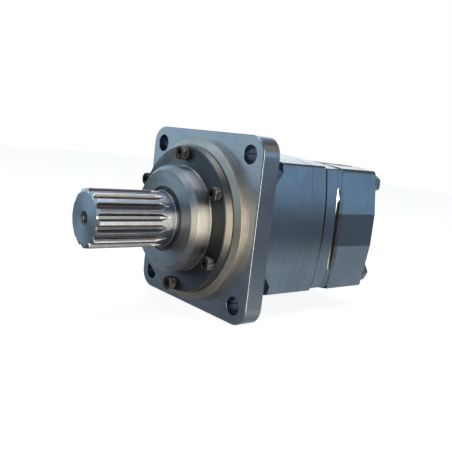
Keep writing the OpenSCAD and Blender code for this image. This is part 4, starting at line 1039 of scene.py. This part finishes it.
def studio_world(sky, window_strength):
    """White behind everything for the camera. Light and gloss see a pale blue sky, a dark band at the
    horizon, grey ground, cards, and a white wall far behind the motor. Gloss alone sees the window."""
    world = bpy.data.worlds.new("studio")
    tree = empty_tree(world)
    toward = add(tree, "ShaderNodeTexCoord").outputs["Generated"]
    height = split(tree, toward)[2]
    colour = mix_colour(tree, ramp(tree, height, -0.33, -0.17), (0.62, 0.61, 0.6), (0.16, 0.16, 0.178))
    colour = mix_colour(tree, ramp(tree, height, -0.1, 0.13), colour, sky)
    for way, start, full, card in studio_cards(tree, height):
        near = vector_calc(tree, "DOT_PRODUCT", toward, way, "Value")
        colour = mix_colour(tree, ramp(tree, near, start, full), colour, card)
    behind = vector_calc(tree, "DOT_PRODUCT", toward, (-0.6, -0.78, 0.1), "Value")
    wall = times(tree, ramp(tree, behind, 0.8, 0.95), ramp(tree, height, -0.04, 0.04))
    colour = mix_colour(tree, wall, colour, (1.0, 1.0, 1.0))
    path = add(tree, "ShaderNodeLightPath").outputs
    glossy = path["Is Glossy Ray"]
    glow = times(tree, studio_window(tree, toward, height), glossy)
    colour = mix_colour(tree, glow, colour, tuple(window_strength * part for part in WARM_WINDOW))
    strength = calc(tree, "ADD", mix_value(tree, glossy, 0.45, 0.95), times(tree, wall, 0.3))
    studio = add(tree, "ShaderNodeBackground", {"Color": colour, "Strength": strength}).outputs[0]
    white = add(tree, "ShaderNodeBackground", {"Color": (1.0, 1.0, 1.0, 1.0), "Strength": 1.0}).outputs[0]
    clear = calc(tree, "MAXIMUM", path["Is Camera Ray"], path["Is Transmission Ray"])
    seen = add(tree, "ShaderNodeMixShader", {0: clear, 1: studio, 2: white}).outputs[0]
    add(tree, "ShaderNodeOutputWorld", {0: seen})
    return world


def set_place(thing, right, up, back, place):
    """Turns and moves an object by its right, up and back directions and its place."""
    rows = [[right[i], up[i], back[i], place[i]] for i in range(3)]
    thing.matrix_world = Matrix([*rows, [0.0, 0.0, 0.0, 1.0]])


def key_lamp(power):
    """A large square lamp above the motor; gloss sees it and the camera doesn't."""
    side = 0.9
    place = (-0.1, -0.05, 1.0)
    target = (-0.04, 0.0, 0.0)
    data = bpy.data.lights.new("key_lamp", "AREA")
    data.shape = "RECTANGLE"
    data.size = side
    data.size_y = side
    data.energy = power
    data.color = (0.95, 0.98, 1.0)
    lamp = new_object("key_lamp", data)
    back = np.array(place) - np.array(target)
    back /= np.linalg.norm(back)
    right = np.cross((0.0, 0.0, 1.0), back)
    right /= np.linalg.norm(right)
    set_place(lamp, right, np.cross(back, right), back, place)
    lamp.visible_camera = False


def photo_camera(lens):
    """The camera of the photograph."""
    data = bpy.data.cameras.new("camera")
    data.sensor_width = 36.0
    data.lens = lens
    data.clip_start = 0.01
    data.clip_end = 20.0
    camera = new_object("camera", data)
    set_place(camera, CAMERA_RIGHT, CAMERA_UP, CAMERA_BACK, CAMERA_PLACE)
    return camera


class MOTOR_OT_stage(bpy.types.Operator):
    """Set up the pale floor, the studio light and the camera"""

    bl_idname = "motor.stage"
    bl_label = "Stage"

    def execute(self, context):
        scene = context.scene
        settings = scene.motor_stage
        floor = studio_floor()
        scene.world = studio_world(tuple(settings.sky_colour), settings.window_strength)
        key_lamp(settings.key_power)
        scene.camera = photo_camera(settings.lens)
        scene.view_settings.view_transform = "Standard"
        return {"FINISHED"}


class MOTOR_PT_panel(bpy.types.Panel):
    """The steps that dress and light the motor"""

    bl_idname = "MOTOR_PT_panel"
    bl_label = "Orbital motor"
    bl_space_type = "VIEW_3D"
    bl_region_type = "UI"
    bl_category = "Motor"

    def draw(self, context):
        for kind in STEPS:
            self.layout.operator(kind.bl_idname)


STEPS = (MOTOR_OT_finishes, MOTOR_OT_cap_screws, MOTOR_OT_end_hole_thread, MOTOR_OT_port_threads,
         MOTOR_OT_garter_spring, MOTOR_OT_stage)
SETTINGS = {"motor_paint": PaintSettings, "motor_screws": ScrewSettings, "motor_threads": ThreadSettings,
            "motor_spring": SpringSettings, "motor_stage": StageSettings}


def register():
    """Adds the classes and the scene's settings."""
    for kind in (*SETTINGS.values(), *STEPS, MOTOR_PT_panel):
        bpy.utils.register_class(kind)
    for name, kind in SETTINGS.items():
        setattr(bpy.types.Scene, name, bpy.props.PointerProperty(type=kind))


def unregister():
    """Takes the settings and the classes away again."""
    for name in SETTINGS:
        delattr(bpy.types.Scene, name)
    for kind in reversed((*SETTINGS.values(), *STEPS, MOTOR_PT_panel)):
        bpy.utils.unregister_class(kind)


def main():
    """Makes everything in order."""
    register()
    bpy.ops.motor.finishes()
    bpy.ops.motor.cap_screws()
    bpy.ops.motor.end_hole_thread()
    bpy.ops.motor.port_threads()
    bpy.ops.motor.garter_spring()
    bpy.ops.motor.stage()


if __name__ == "__main__":
    main()
